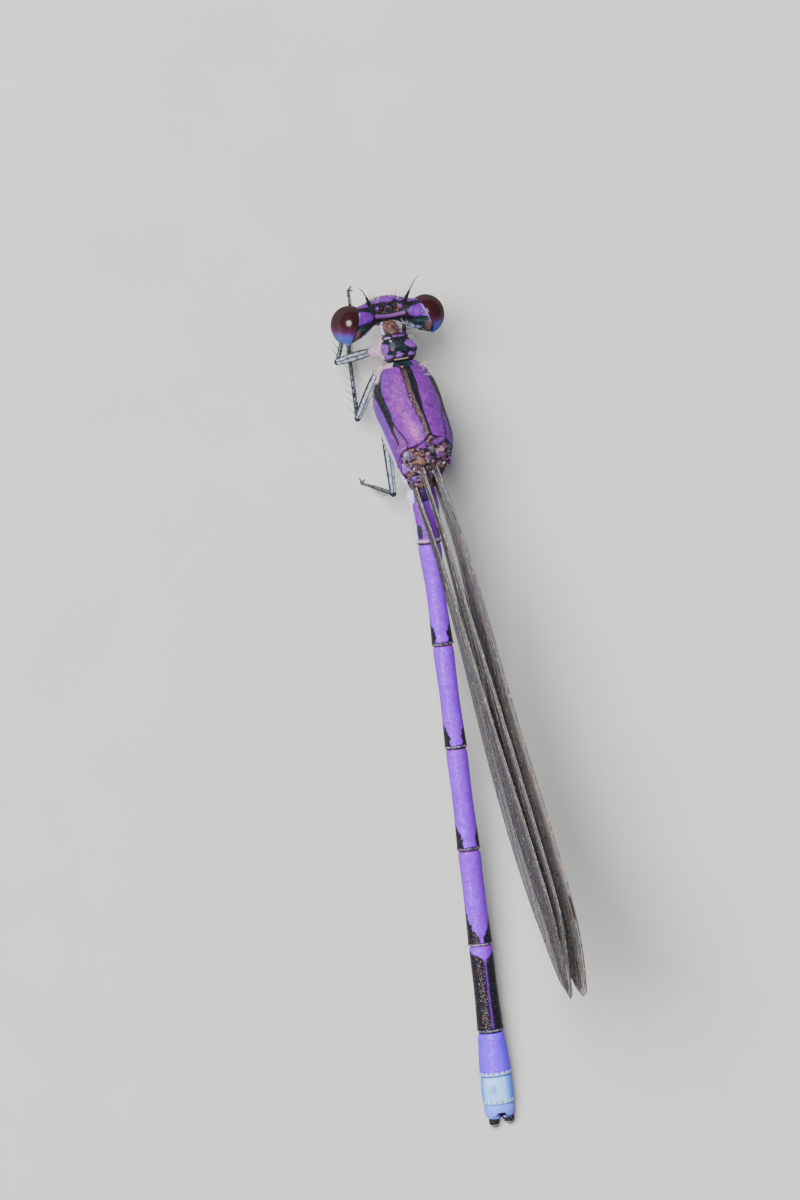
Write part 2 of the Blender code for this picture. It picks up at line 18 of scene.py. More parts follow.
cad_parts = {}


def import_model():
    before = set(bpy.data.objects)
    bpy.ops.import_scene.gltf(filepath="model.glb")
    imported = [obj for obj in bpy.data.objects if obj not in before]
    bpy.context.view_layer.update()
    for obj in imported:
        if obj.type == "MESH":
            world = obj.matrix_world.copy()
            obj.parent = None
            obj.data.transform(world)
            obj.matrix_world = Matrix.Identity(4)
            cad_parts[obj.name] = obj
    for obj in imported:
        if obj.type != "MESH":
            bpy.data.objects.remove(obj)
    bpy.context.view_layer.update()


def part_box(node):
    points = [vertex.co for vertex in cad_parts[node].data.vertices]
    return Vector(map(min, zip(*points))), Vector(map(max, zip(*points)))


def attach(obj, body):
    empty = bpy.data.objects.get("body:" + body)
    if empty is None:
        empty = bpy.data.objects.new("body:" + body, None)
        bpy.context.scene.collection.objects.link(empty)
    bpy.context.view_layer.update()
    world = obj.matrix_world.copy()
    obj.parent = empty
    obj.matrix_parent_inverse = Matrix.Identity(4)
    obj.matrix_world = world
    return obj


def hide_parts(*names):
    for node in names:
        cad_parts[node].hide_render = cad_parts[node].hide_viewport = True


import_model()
MILLIMETRE = 0.001

# The line through the eyes lies 6.6 mm in front of the base of the abdomen, the scene's own origin.
HEAD = np.array([0.24, -6.6, 3.2])
AXIS_HEIGHT = 3.3
eye_low, eye_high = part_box("eye_left")
tail_low, tail_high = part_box("abdomen_3")
ORIGIN = np.array([
    (tail_low.x + tail_high.x) / 2,
    (eye_low.y + eye_high.y) / 2 - HEAD[1] * MILLIMETRE,
    0.0,
])


# %% [markdown]
# ## Camera, floor and light
#
# The animal is seen from above, 16 degrees over to its left side, by a camera that is rolled 9
# degrees.  A camera far away keeps the perspective flat, as a long macro lens does.  The light is
# one big round soft light, up and to the left of the camera's axis, which gives the bright patch
# in each eye and leaves the right side of the body darker.  An even pale room fills the shadows.

# %% Place the camera
VIEW_TILT = math.radians(16.0)
VIEW_TURN = math.radians(9.2)
PICTURE_HEIGHT = 1200  # pixels
PIXEL = 0.038  # mm on the animal for each pixel
BASE_PIXEL = (422, 490)  # where the base of the abdomen falls
CENTRE_PIXEL = (400, 600)
CAMERA_DISTANCE = 0.35
SENSOR = 36.0


def in_frame(points):
    """Places in the animal's axes, in mm, as metres in the frame."""
    return np.asarray(points, float) * MILLIMETRE + ORIGIN


across = Vector((-math.cos(VIEW_TILT), 0.0, math.sin(VIEW_TILT)))
along = Vector((0.0, 1.0, 0.0))
picture_right = across * math.cos(VIEW_TURN) + along * math.sin(VIEW_TURN)
picture_down = along * math.cos(VIEW_TURN) - across * math.sin(VIEW_TURN)
towards_camera = Vector((math.sin(VIEW_TILT), 0.0, math.cos(VIEW_TILT)))

target = Vector(in_frame((0.0, 0.0, AXIS_HEIGHT)))
target += picture_right * (CENTRE_PIXEL[0] - BASE_PIXEL[0]) * PIXEL * MILLIMETRE
target += picture_down * (CENTRE_PIXEL[1] - BASE_PIXEL[1]) * PIXEL * MILLIMETRE

camera = bpy.data.cameras.new("camera")
camera.sensor_width = SENSOR
camera.lens = SENSOR * CAMERA_DISTANCE / (PICTURE_HEIGHT * PIXEL * MILLIMETRE)
camera.clip_start = 0.01
camera.clip_end = 5.0
camera_object = bpy.data.objects.new("camera", camera)
bpy.context.scene.collection.objects.link(camera_object)
camera_matrix = Matrix((picture_right, -picture_down, towards_camera)).transposed().to_4x4()
camera_matrix.translation = target + towards_camera * CAMERA_DISTANCE
camera_object.matrix_world = camera_matrix
bpy.context.scene.camera = camera_object
print("lens", round(camera.lens), "mm")


# %% Hang the lights
def soft_light(name, direction, distance, size, power, colour):
    """A round area light that looks at the middle of the animal."""
    light = bpy.data.lights.new(name, "AREA")
    light.shape = "DISK"
    light.size = size
    light.energy = power
    light.color = colour
    lamp = bpy.data.objects.new(name, light)
    bpy.context.scene.collection.objects.link(lamp)
    offset = Vector(direction).normalized() * distance
    lamp.location = target + offset
    lamp.rotation_euler = offset.to_track_quat("Z", "Y").to_euler()


key_direction = towards_camera - picture_down * 0.2 - picture_right * 0.28
soft_light("key", key_direction, distance=0.5, size=0.32, power=7.2, colour=(1.0, 0.985, 0.96))

world = bpy.data.worlds.new("pale_room")
bpy.context.scene.world = world
world.use_nodes = True
room = world.node_tree.nodes["Background"]
room.inputs["Color"].default_value = (0.86, 0.9, 0.96, 1.0)
room.inputs["Strength"].default_value = 0.3


# %% [markdown]
# ## Tools for curves, patterns and surfaces
#
# Almost every form of an insect is a tube: body, legs, feelers.  So the main tool skins a closed
# tube over rings of points.  Sizes along a tube are read from a smooth curve through a few
# measured places, and colours are painted on the points by the same coordinates, the place along
# the tube and the angle around it, so that a stripe stays exactly where its seam is.  Sculpting
# would be freer, but rings can be measured and corrected.


# %% Curves and steps
def through(places, values, x):
    """Reads a smooth curve through a few measured values at any places x."""
    places, values, x = (np.asarray(item, float) for item in (places, values, x))
    slopes = np.gradient(values, places)
    i = np.clip(np.searchsorted(places, x) - 1, 0, len(places) - 2)
    width = places[i + 1] - places[i]
    t = np.clip((x - places[i]) / width, 0.0, 1.0)
    start = (2 * t**3 - 3 * t**2 + 1) * values[i] + (t**3 - 2 * t**2 + t) * width * slopes[i]
    end = (3 * t**2 - 2 * t**3) * values[i + 1] + (t**3 - t**2) * width * slopes[i + 1]
    return start + end


def step(x, edge, soft):
    """0 below the edge and 1 above it, with a soft change as wide as soft."""
    t = np.clip((x - edge) / soft + 0.5, 0.0, 1.0)
    return t * t * (3 - 2 * t)


def before(x, edge, soft):
    """1 below the edge and 0 above it."""
    return 1.0 - step(x, edge, soft)


def band(x, low, high, soft):
    """1 between low and high."""
    return step(x, low, soft) * before(x, high, soft)


def bump(x, middle, width):
    """A smooth hill around a middle."""
    return np.exp(-(((x - middle) / width) ** 2))


# %% Blotches and fields
MOTTLE_WAVES = 48


def mottle(points, grain, seed):
    """Smooth random values around 0 over points, in blotches about as wide as grain."""
    draw = np.random.default_rng(seed)
    directions = draw.normal(size=(MOTTLE_WAVES, 3)) * (math.pi / grain)
    phases = draw.uniform(0.0, math.tau, MOTTLE_WAVES)
    return np.cos(points.reshape(-1, 3) @ directions.T + phases).sum(axis=1) / math.sqrt(MOTTLE_WAVES / 2)


def inside(x, y, polygon, soft):
    """1 inside a polygon, 0 outside, soft at its edge."""
    corners = np.asarray(polygon, float)
    nearest = np.full(np.shape(x), 1e9)
    crossings = np.zeros(np.shape(x), int)
    for (x0, y0), (x1, y1) in zip(corners, np.roll(corners, -1, axis=0)):
        length = (x1 - x0) ** 2 + (y1 - y0) ** 2
        t = np.clip(((x - x0) * (x1 - x0) + (y - y0) * (y1 - y0)) / length, 0.0, 1.0)
        nearest = np.minimum(nearest, np.hypot(x - x0 - t * (x1 - x0), y - y0 - t * (y1 - y0)))
        rises = (y0 > y) != (y1 > y)
        slope = (x1 - x0) / (y1 - y0) if y1 != y0 else 0.0
        crossings += rises & (x < x0 + slope * (y - y0))
    signed = np.where(crossings % 2 == 1, nearest, -nearest)
    return step(signed, 0.0, soft)


print("a curve through 0, 1, 4 reads", float(through((0, 1, 2), (0, 1, 4), 1.5)), "at 1.5")


# %% The palette of the cuticle
def rgb(*shares):
    """A colour as linear red, green and blue."""
    return np.array(shares)


VIOLET = rgb(0.205, 0.003, 0.76)
DEEP_VIOLET = rgb(0.13, 0.003, 0.42)
MAUVE = rgb(0.122, 0.015, 0.235)
PINK_MAUVE = rgb(0.178, 0.028, 0.24)
BLUE_MAUVE = rgb(0.1, 0.024, 0.25)
HEAD_VIOLET = rgb(0.088, 0.009, 0.215)
SKY = rgb(0.27, 0.54, 1.0)
# sky blue deepened by painted shade, for the flanks of the ninth ring
SKY_IN_PAINTED_SHADE = rgb(0.06, 0.2, 1.0)
LILAC = rgb(0.15, 0.22, 1.0)
BLACK = rgb(0.006, 0.005, 0.01)
# the keel's black painted brown on its lit left half, a painted light
LIT_KEEL_BROWN = rgb(0.06, 0.027, 0.025)
UMBER = rgb(0.07, 0.032, 0.027)
TAN = rgb(0.145, 0.084, 0.078)
PALE = rgb(0.5, 0.47, 0.74)
PINKISH = rgb(0.42, 0.27, 0.38)
CREAM = rgb(0.56, 0.42, 0.33)
# a teal painted on black parts as their sheen
TEAL_SHEEN = rgb(0.01, 0.044, 0.052)
GREY_BLUE = rgb(0.11, 0.11, 0.19)


# %% Coats of paint
def cover(colours, paint, mask):
    """Lays one colour over others as far as the mask says."""
    mask = np.asarray(mask, float)[:, None]
    return colours * (1 - mask) + paint * mask


class Coats:
    """The colours of a surface's points, painted one coat over another."""

    def __init__(self, colours):
        self.colours = colours

    def __call__(self, paint, mask):
        self.colours = cover(self.colours, paint, mask)


def toned(paint, change):
    """A colour at every point, lighter or darker by a share of itself."""
    return paint * (1 + change)[:, None]


def with_painted_glints(colours, amount=0.04):
    """Adds the paint's fourth number, the share of flakes painted lighter as glints."""
    share = np.broadcast_to(np.clip(amount, 0, 1), len(colours))
    return np.column_stack([np.clip(colours, 0.003, 1.0), share])


# %% Skins over rings
def unit(vectors):
    return vectors / np.linalg.norm(vectors, axis=-1, keepdims=True)


def skin_over(rings, colours, strip=(0.0, 1.0)):
    """A closed tube over rings (rows, sides, 3), with a map of its own laid in a strip of the square."""
    rows, sides = rings.shape[:2]
    points = np.concatenate([rings.reshape(-1, 3), [rings[0].mean(0)], [rings[-1].mean(0)]])
    paint = colours.reshape(rows, sides, -1)
    paint = np.concatenate([colours.reshape(rows * sides, -1), [paint[0].mean(0)], [paint[-1].mean(0)]])
    i, k = np.meshgrid(np.arange(rows - 1), np.arange(sides), indexing="ij")
    following = (k + 1) % sides
    here, ahead = i * sides, (i + 1) * sides
    quads = np.stack([here + k, here + following, ahead + following, ahead + k], -1)
    low, high = strip
    v = low + (high - low) * np.stack([i, i, i + 1, i + 1], -1) / (rows - 1)
    u = np.stack([k, k + 1, k + 1, k], -1) / sides
    faces = quads.reshape(-1, 4).tolist()
    places = np.stack([u, v], -1).reshape(-1, 2)
    caps = []
    for ring, tip in ((0, rows * sides), (rows - 1, rows * sides + 1)):
        for k in range(sides):
            pair = [ring * sides + k, ring * sides + (k + 1) % sides]
            faces.append([*pair, tip])
            level = low if ring == 0 else high
            caps += [(k / sides, level), ((k + 1) / sides, level), ((k + 0.5) / sides, level)]
    return points, faces, paint, np.concatenate([places, caps])


# %% Pieces in the scene
def new_piece(name, mesh, finish):
    """Puts a mesh in the scene under its name, smooth and in its finish."""
    mesh.materials.clear()
    mesh.materials.append(finish)
    mesh.shade_smooth()
    piece = bpy.data.objects.new(name, mesh)
    bpy.context.scene.collection.objects.link(piece)
    print(f"{name}: {sum(len(face.vertices) - 2 for face in mesh.polygons)} triangles")
    return piece


def make_piece(name, shells, finish):
    """Joins closed shells, all in mm, into one object at the origin, with its paint and its map."""
    points, faces, paint, places, start = [], [], [], [], 0
    for shell_points, shell_faces, shell_paint, shell_places in shells:
        points.append(shell_points)
        faces += [[corner + start for corner in face] for face in shell_faces]
        paint.append(shell_paint if shell_paint.shape[1] == 4 else with_painted_glints(shell_paint))
        places.append(shell_places)
        start += len(shell_points)
    mesh = bpy.data.meshes.new(name)
    mesh.from_pydata(in_frame(np.concatenate(points)).tolist(), [], faces)
    cuticle = mesh.attributes.new("cuticle", "FLOAT_COLOR", "POINT")
    cuticle.data.foreach_set("color", np.concatenate(paint).ravel())
    chart = mesh.uv_layers.new(name="skin_map")
    chart.data.foreach_set("uv", np.concatenate(places).ravel())
    outward = bmesh.new()
    outward.from_mesh(mesh)
    bmesh.ops.recalc_face_normals(outward, faces=outward.faces)
    outward.to_mesh(mesh)
    outward.free()
    return new_piece(name, mesh, finish)


def settle_piece(piece, slot, *nodes):
    """Hangs a finished piece under the root and hides the solids that it stands for; slot is not used."""
    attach(piece, "root")
    if nodes:
        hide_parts(*nodes)
    return piece


# %% Balls, and tubes along a path
def ball_grid(rows, sides, gap=0.05):
    """Angles from the pole and around it, with a small gap at each pole for the cap."""
    polar = np.linspace(gap, math.pi - gap, rows)
    return np.meshgrid(polar, np.linspace(0, math.tau, sides, endpoint=False), indexing="ij")


def plain_shell(rings, colour):
    """A closed tube in one colour."""
    return skin_over(rings, np.tile(colour, (rings.shape[0] * rings.shape[1], 1)))


def tube(path, radii, sides, rows, flat=1.0):
    """Rings along a smooth path through a few points."""
    path = np.asarray(path, float)
    lengths = np.concatenate([[0.0], np.cumsum(np.linalg.norm(np.diff(path, axis=0), axis=1))])
    knots = lengths / lengths[-1]
    share = np.linspace(0.0, 1.0, rows)
    places = np.column_stack([through(knots, path[:, axis], share) for axis in range(3)])
    places = places if len(path) > 2 else path[0] + (path[1] - path[0]) * share[:, None]
    widths = through(np.linspace(0.0, 1.0, len(radii)), radii, share)
    forward = unit(np.gradient(places, axis=0))
    side = unit(np.cross(forward, (0.0, 0.0, 1.0)))
    over = unit(np.cross(side, forward))
    turn = np.linspace(0.0, math.tau, sides, endpoint=False)[None, :, None]
    spokes = side[:, None] * np.sin(turn) + over[:, None] * flat * np.cos(turn)
    return places[:, None] + spokes * widths[:, None, None]


def rounded(turn, squareness):
    """Sine and cosine around a section that lies between a circle and a square."""
    sine, cosine = np.sin(turn), np.cos(turn)
    power = 2.0 / squareness
    return np.sign(sine) * np.abs(sine) ** power, np.sign(cosine) * np.abs(cosine) ** power


# %% [markdown]
# ## The finishes
#
# Insect cuticle is a hard, slightly granular shell.  Its colour is painted on the points; the
# material adds what is too small for them: a fine grain, a thin waxy coat, and flakes with a
# painted teal and bronze sheen and painted glints, which make the black stripes of a dancer look
# metallic as under a flash.  A picture wrapped round the body would be simpler, but it blurs close
# up, and noise doesn't.


# %% Tools for node trees
def socket_named(sockets, name):
    """The socket in use under a name; a node may keep several for its other kinds of data."""
    return next(socket for socket in sockets if socket.name == name and socket.enabled)


def feed(node, **inputs):
    """Gives inputs a plain value or another node's socket; a blank in a name is written as _."""
    for name, value in inputs.items():
        give(node, socket_named(node.inputs, name.replace("_", " ")), value)


def give(node, socket, value):
    if isinstance(value, bpy.types.NodeSocket):
        node.id_data.links.new(value, socket)
    else:
        socket.default_value = value


def add_node(tree, kind, inputs=None, **settings):
    """A new node with its settings and what goes into it."""
    node = tree.nodes.new(kind)
    for name, value in settings.items():
        setattr(node, name, value)
    feed(node, **(inputs or {}))
    return node


# %% Arithmetic and colours in nodes
def combine(tree, operation, first, second, kind="ShaderNodeMath"):
    """One step of arithmetic on two values, or on two vectors."""
    node = add_node(tree, kind, operation=operation)
    give(node, node.inputs[0], first)
    give(node, node.inputs[1], second)
    return node.outputs[0]


def spread(tree, source, *limits):
    """Maps one range of a value onto another: low, high, new low, new high."""
    titles = ("From Min", "From Max", "To Min", "To Max")
    node = add_node(tree, "ShaderNodeMapRange", {**dict(zip(titles, limits)), "Value": source})
    return node.outputs["Result"]


def blend(tree, kind, amount, first, second):
    """Mixes two colours; each argument is a socket or a plain value."""
    node = add_node(tree, "ShaderNodeMix", data_type="RGBA", blend_type=kind)
    for name, value in (("Factor", amount), ("A", first), ("B", second)):
        value = (*value, 1.0) if isinstance(value, (tuple, np.ndarray)) else value
        give(node, socket_named(node.inputs, name), value)
    return socket_named(node.outputs, "Result")


def colour_steps(tree, source, stops, interpolation="CONSTANT"):
    """Turns a value into colours, given as pairs of a place and a colour."""
    node = add_node(tree, "ShaderNodeValToRGB", {"Fac": source})
    node.color_ramp.interpolation = interpolation
    elements = node.color_ramp.elements
    for index, (place, colour) in enumerate(stops):
        element = elements[index] if index < 2 else elements.new(place)
        element.position = place
        element.color = (*colour, 1.0)
    return node.outputs["Color"]


def texture(tree, kind, scale_mm, stretch=None, **more):
    """A Noise or Voronoi texture on the object's own axes whose grain is given in mm."""
    source = tree.nodes.new("ShaderNodeTexCoord").outputs["Object"]
    if stretch:
        source = add_node(tree, "ShaderNodeMapping", {"Vector": source, "Scale": stretch}).outputs["Vector"]
    inputs = {"Vector": source, "Scale": 1.0 / (scale_mm * MILLIMETRE), **more}
    return add_node(tree, "ShaderNodeTex" + kind, inputs)


# %% Tools for finishes
def new_finish(name):
    finish = bpy.data.materials.new(name)
    finish.use_nodes = True
    return finish, finish.node_tree, finish.node_tree.nodes["Principled BSDF"]


def painted(tree):
    """The colour on the points, with the share of flakes painted as glints as its fourth number."""
    return add_node(tree, "ShaderNodeAttribute", attribute_name="cuticle").outputs


def uneven(tree, colour, noise, low, high, edge=0.3):
    """A colour made a little darker and lighter by a noise."""
    return blend(tree, "MULTIPLY", 1.0, colour, spread(tree, noise.outputs["Fac"], edge, 1 - edge, low, high))


def add_relief(tree, shader, height, strength, depth_mm):
    """Fine relief, too small for the mesh."""
    tilt = add_node(tree, "ShaderNodeBump")
    feed(tilt, Strength=strength, Distance=depth_mm * MILLIMETRE, Height=height)
    feed(shader, Normal=tilt.outputs["Normal"])


# %% Cuticle
# teal and bronze sheen painted into the colour, seen mostly on the black parts
PAINTED_SHEEN = ((0.36, (0.03, 0.014, 0.016)), (0.64, (0.006, 0.034, 0.042)))
SHEEN_STRENGTH = 0.3
# share of the flakes at which each colour starts, and the painted glint colour that they add to the paint
PAINTED_GLINT_HUES = (
    (0.0, (0.07, 0.34, 0.38)),
    (0.22, (0.50, 0.17, 0.07)),
    (0.42, (0.42, 0.28, 0.13)),
    (0.58, (0.42, 0.36, 0.42)),
    (0.86, (0.42, 0.12, 0.26)),
)


def cuticle_finish(name, flake=0.036, rough=(0.46, 0.68), coat=0.03):
    """Painted cuticle with a fine grain, a thin coat of wax, and flakes of random tint: a painted sheen and
    painted glints.
    """
    finish, tree, shader = new_finish(name)
    paint = painted(tree)
    flakes = texture(tree, "Voronoi", flake)
    fine = texture(tree, "Noise", 0.03, Detail=3.0)
    cloud = texture(tree, "Noise", 0.22)
    grained = uneven(tree, paint["Color"], fine, 0.74, 1.22)
    apart = add_node(tree, "ShaderNodeSeparateColor", {"Color": flakes.outputs["Color"]}).outputs
    # a painted teal and bronze sheen, added to the colour in the flakes
    strength = spread(tree, apart["Red"], 0.35, 1.0, 0.0, SHEEN_STRENGTH)
    painted_sheen = colour_steps(tree, cloud.outputs["Fac"], PAINTED_SHEEN, "LINEAR")
    coloured = blend(tree, "ADD", 1.0, grained, blend(tree, "MULTIPLY", 1.0, painted_sheen, strength))
    # round flakes painted lighter as glints, more of them where the paint's fourth number is higher
    beyond = combine(tree, "SUBTRACT", apart["Green"], spread(tree, paint["Alpha"], 0.0, 1.0, 1.0, 0.35))
    dot = spread(tree, flakes.outputs["Distance"], 0.1, 0.52, 1.0, 0.0)
    glint_mask = combine(tree, "MULTIPLY", spread(tree, beyond, 0.0, 0.1, 0.0, 0.85), dot)
    brighter = blend(tree, "MULTIPLY", 1.0, grained, (1.8, 1.8, 1.8))
    glint_colour = blend(tree, "ADD", 1.0, brighter, colour_steps(tree, apart["Blue"], PAINTED_GLINT_HUES))
    roughness = spread(tree, fine.outputs["Fac"], 0.3, 0.7, *rough)
    feed(shader, Base_Color=blend(tree, "MIX", glint_mask, coloured, glint_colour), Roughness=roughness)
    feed(shader, Specular_IOR_Level=0.11, Coat_Weight=coat, Coat_Roughness=0.16)
    height = combine(tree, "ADD", flakes.outputs["Distance"], fine.outputs["Fac"])
    add_relief(tree, shader, height, 0.6, 0.01)
    return finish


body_finish = cuticle_finish("body_cuticle")
leg_finish = cuticle_finish("leg_cuticle", flake=0.03)
plate_finish = cuticle_finish("wing_base_cuticle", flake=0.034, rough=(0.28, 0.5), coat=0.12)


# %% Eyes, hairs and floor
def eye_finish():
    """Thousands of tiny lenses under one clear coat."""
    finish, tree, shader = new_finish("compound_eye")
    lenses = texture(tree, "Voronoi", 0.03)
    cloud = texture(tree, "Noise", 0.35)
    feed(shader, Base_Color=uneven(tree, painted(tree)["Color"], cloud, 0.85, 1.15))
    feed(shader, Roughness=0.5, Specular_IOR_Level=0.0)
    feed(shader, Coat_Weight=0.12, Coat_IOR=2.6, Coat_Roughness=0.18)
    add_relief(tree, shader, lenses.outputs["Distance"], 0.25, 0.006)
    return finish


def plain_finish(name, colour, roughness, grain=0.02, change=0.25):
    """One colour, a little lighter and darker by a fine noise."""
    finish, tree, shader = new_finish(name)
    shade = uneven(tree, colour, texture(tree, "Noise", grain), 1.0 - change, 1.0 + change)
    feed(shader, Base_Color=shade, Roughness=roughness)
    return finish


lens_finish = eye_finish()
hair_finish = plain_finish("pale_hair", (0.66, 0.6, 0.5), 0.45)
bristle_finish = plain_finish("dark_bristle", (0.03, 0.026, 0.03), 0.4)
floor_finish = plain_finish("pale_floor", (0.52, 0.52, 0.515), 0.8, grain=4.0, change=0.02)


# %% Wings
def membrane_finish():
    """A smoky film, a little browner along its front edge, where the paint says so."""
    finish, tree, shader = new_finish("wing_film")
    cloud = texture(tree, "Noise", 0.3, stretch=(1.0, 0.55, 1.0), Detail=4.0)
    shade = uneven(tree, painted(tree)["Color"], cloud, 0.72, 1.3, 0.32)
    feed(shader, Base_Color=shade, Roughness=0.45, IOR=1.12, Alpha=0.55)
    add_relief(tree, shader, texture(tree, "Noise", 0.12).outputs["Fac"], 0.6, 0.02)
    return finish


# share of the patches at which each colour starts: browns with short painted glints of rust, teal and pale
VEIN_COLOURS_AND_GLINTS = (
    (0.0, (0.022, 0.018, 0.020)),
    (0.46, (0.058, 0.048, 0.050)),
    (0.64, (0.030, 0.026, 0.028)),
    (0.70, (0.20, 0.085, 0.055)),
    (0.735, (0.025, 0.026, 0.030)),
    (0.75, (0.04, 0.14, 0.14)),
    (0.79, (0.030, 0.026, 0.030)),
    (0.83, (0.30, 0.25, 0.21)),
    (0.86, (0.030, 0.026, 0.032)),
)


def vein_finish():
    """Dark brown veins with painted glints."""
    finish, tree, shader = new_finish("wing_veins")
    patches = texture(tree, "Voronoi", 0.055, stretch=(1.0, 0.6, 1.0))
    colours = colour_steps(tree, patches.outputs["Color"], VEIN_COLOURS_AND_GLINTS)
    feed(shader, Base_Color=colours, Roughness=0.4, Coat_Weight=0.2)
    return finish


film_finish = membrane_finish()
vein_paint = vein_finish()
print(len(bpy.data.materials), "finishes")


# %% Lay the floor
FLOOR_SIZE = 1.6  # metres
bpy.ops.mesh.primitive_plane_add(size=FLOOR_SIZE)
floor = bpy.context.object
floor.name = "floor"
floor.data.materials.append(floor_finish)


# %% [markdown]
# ## The trunk: prothorax and thorax
#
# Behind the head comes a small collar-like prothorax, then the big fused thorax that carries the
# wings.  Both are skinned over rings whose widths and heights follow the solids.  The relief of
# the plates is added along the surface: the keel down the middle of the back, the seams under the
# black shoulder stripes, the crest in front of the wings.  Separate plates would leave gaps.

# %% Their measurements
NECK_START = -4.9
NECK_BEND = 0.15
SWAY, SWAY_PLACE = 0.1, -1.9  # the rear of the thorax leans a little to the right
# place along the body, rise of the axis, half width, top, bottom, squareness, flare
PROTHORAX_RINGS = np.array([
    (-6.62, -0.12, 0.24, 0.22, 0.26, 2.1, 0.0),
    (-6.46, -0.11, 0.34, 0.30, 0.32, 2.1, 0.0),
    (-6.25, -0.10, 0.40, 0.35, 0.36, 2.2, 0.0),
    (-6.10, -0.09, 0.41, 0.36, 0.38, 2.2, 0.0),
    (-6.03, -0.08, 0.40, 0.35, 0.40, 2.2, 0.0),
    (-5.97, -0.07, 0.50, 0.46, 0.48, 2.2, 0.0),
    (-5.90, -0.06, 0.57, 0.55, 0.56, 2.2, 0.0),
    (-5.80, -0.05, 0.60, 0.54, 0.62, 2.2, 0.0),
    (-5.66, -0.05, 0.72, 0.62, 0.68, 2.1, 0.0),
    (-5.48, -0.03, 0.82, 0.66, 0.74, 2.1, 0.0),
    (-5.34, -0.03, 0.80, 0.62, 0.74, 2.1, 0.0),
    (-5.24, -0.02, 0.72, 0.57, 0.70, 2.1, 0.0),
    (-5.14, -0.02, 0.68, 0.57, 0.64, 2.1, 0.0),
    (-5.05, -0.02, 0.58, 0.50, 0.58, 2.1, 0.0),
    (-4.97, -0.02, 0.50, 0.40, 0.48, 2.1, 0.0),
    (-4.88, -0.03, 0.42, 0.30, 0.40, 2.1, 0.0),
])
THORAX_RINGS = np.array([
    (-4.98, -0.05, 0.40, 0.30, 0.42, 2.0, 0.0),
    (-4.93, -0.05, 0.56, 0.46, 0.60, 2.0, 0.0),
    (-4.85, -0.05, 0.66, 0.56, 0.72, 2.0, 0.0),
    (-4.74, -0.05, 0.78, 0.70, 0.90, 1.95, -0.04),
    (-4.60, -0.05, 0.90, 0.86, 1.04, 1.95, -0.06),
    (-4.20, -0.05, 1.12, 1.15, 1.38, 1.95, -0.08),
    (-3.60, -0.05, 1.28, 1.42, 1.55, 1.95, -0.05),
    (-2.90, -0.03, 1.31, 1.68, 1.58, 1.95, 0.01),
    (-2.30, -0.01, 1.30, 1.86, 1.50, 1.95, 0.09),
    (-1.90, 0.00, 1.24, 1.84, 1.36, 2.10, 0.18),
    (-1.72, 0.00, 1.19, 1.72, 1.27, 2.20, 0.25),
    (-1.40, 0.00, 1.07, 1.54, 1.12, 2.30, 0.38),
    (-0.90, 0.00, 0.88, 1.24, 0.92, 2.30, 0.50),
    (-0.40, 0.00, 0.68, 0.88, 0.74, 2.20, 0.40),
    (-0.10, 0.00, 0.56, 0.60, 0.60, 2.10, 0.10),
    (0.02, 0.00, 0.44, 0.44, 0.44, 2.0, 0.0),
])


# %% Surface of the trunk
def trunk_surface(table, relief, y, angle):
    """Points on a trunk at a place along it and an angle from the top, in degrees, left positive."""
    y, angle = np.broadcast_arrays(np.asarray(y, float), np.asarray(angle, float))
    columns = (through(table[:, 0], column, y) for column in table[:, 1:].T)
    rise, half_width, top, bottom, squareness, flare = columns
    turn = np.radians(angle)
    sideways, upwards = rounded(turn, squareness)
    swell = relief(y, angle)
    bend = NECK_BEND * np.maximum(0.0, NECK_START - y) - SWAY * bump(y, SWAY_PLACE, 0.9)
    x = bend + (half_width * sideways) * (1 + flare * upwards) + swell * np.sin(turn)
    z = AXIS_HEIGHT + rise + np.where(upwards > 0, top, bottom) * upwards + swell * np.cos(turn)
    return np.stack([x, y, z], -1)


def around(sides):
    """Evenly spaced angles in degrees, from the belly over the left side, the back and the right."""
    return 180.0 - 360.0 * np.arange(sides) / sides


def body_shell(surface, paint, span, rows, sides, strip):
    """Skins and paints one part of the body between two places along it."""
    y, angle = np.meshgrid(np.linspace(*span, rows), around(sides), indexing="ij")
    rings = surface(y, angle)
    return skin_over(rings, paint(rings.reshape(-1, 3), y.ravel(), angle.ravel()), strip)


print("the thorax is", round(2 * THORAX_RINGS[:, 2].max(), 2), "mm wide")


# %% [markdown]
# ### Markings of the thorax
#
# A violet dancer's thorax is mauve with a black band along the keel and a black shoulder stripe on
# each side, which forks towards the wings.  Below the stripe the sides fade to white.  Each edge
# is a curve of angle against place along the body, so that it can be set against a real animal
# seam by seam.

# %% Lines of the markings
KEEL_LEFT = ((-4.75, -4.0, -3.4, -2.6, -2.05), (24, 18.5, 15, 9.5, 6.5))
KEEL_RIGHT = ((-4.75, -4.0, -3.2, -2.5, -1.95), (-9, -7.0, -4.6, -2.8, -3.0))
RIDGE = ((-4.75, -4.2, -3.5, -2.9, -2.0), (8.5, 9.0, 6.2, 2.8, 1.0))
SHOULDER = ((-4.3, -3.9, -3.6, -3.3, -2.95, -2.72, -2.3, -1.85), (88, 84, 71, 65, 59.8, 58, 57.5, 50.5))
SHOULDER_HALF = ((-4.3, -3.9, -3.6, -3.3, -2.95, -2.72, -2.3, -1.85), (16, 17, 11.0, 8.6, 7.4, 6.0, 2.8, 1.8))
RIGHT_SHOULDER = ((-4.4, -3.8, -3.3, -2.9, -2.3, -1.85), (61, 61, 60, 53, 49, 45))
RIGHT_SHOULDER_HALF = ((-4.4, -3.8, -3.3, -2.9, -2.3, -1.85), (15, 15, 11, 8, 4.0, 2.2))
FORK = ((-2.9, -2.57, -2.28, -1.99, -1.74), (55, 51.5, 45.5, 38, 31.5))
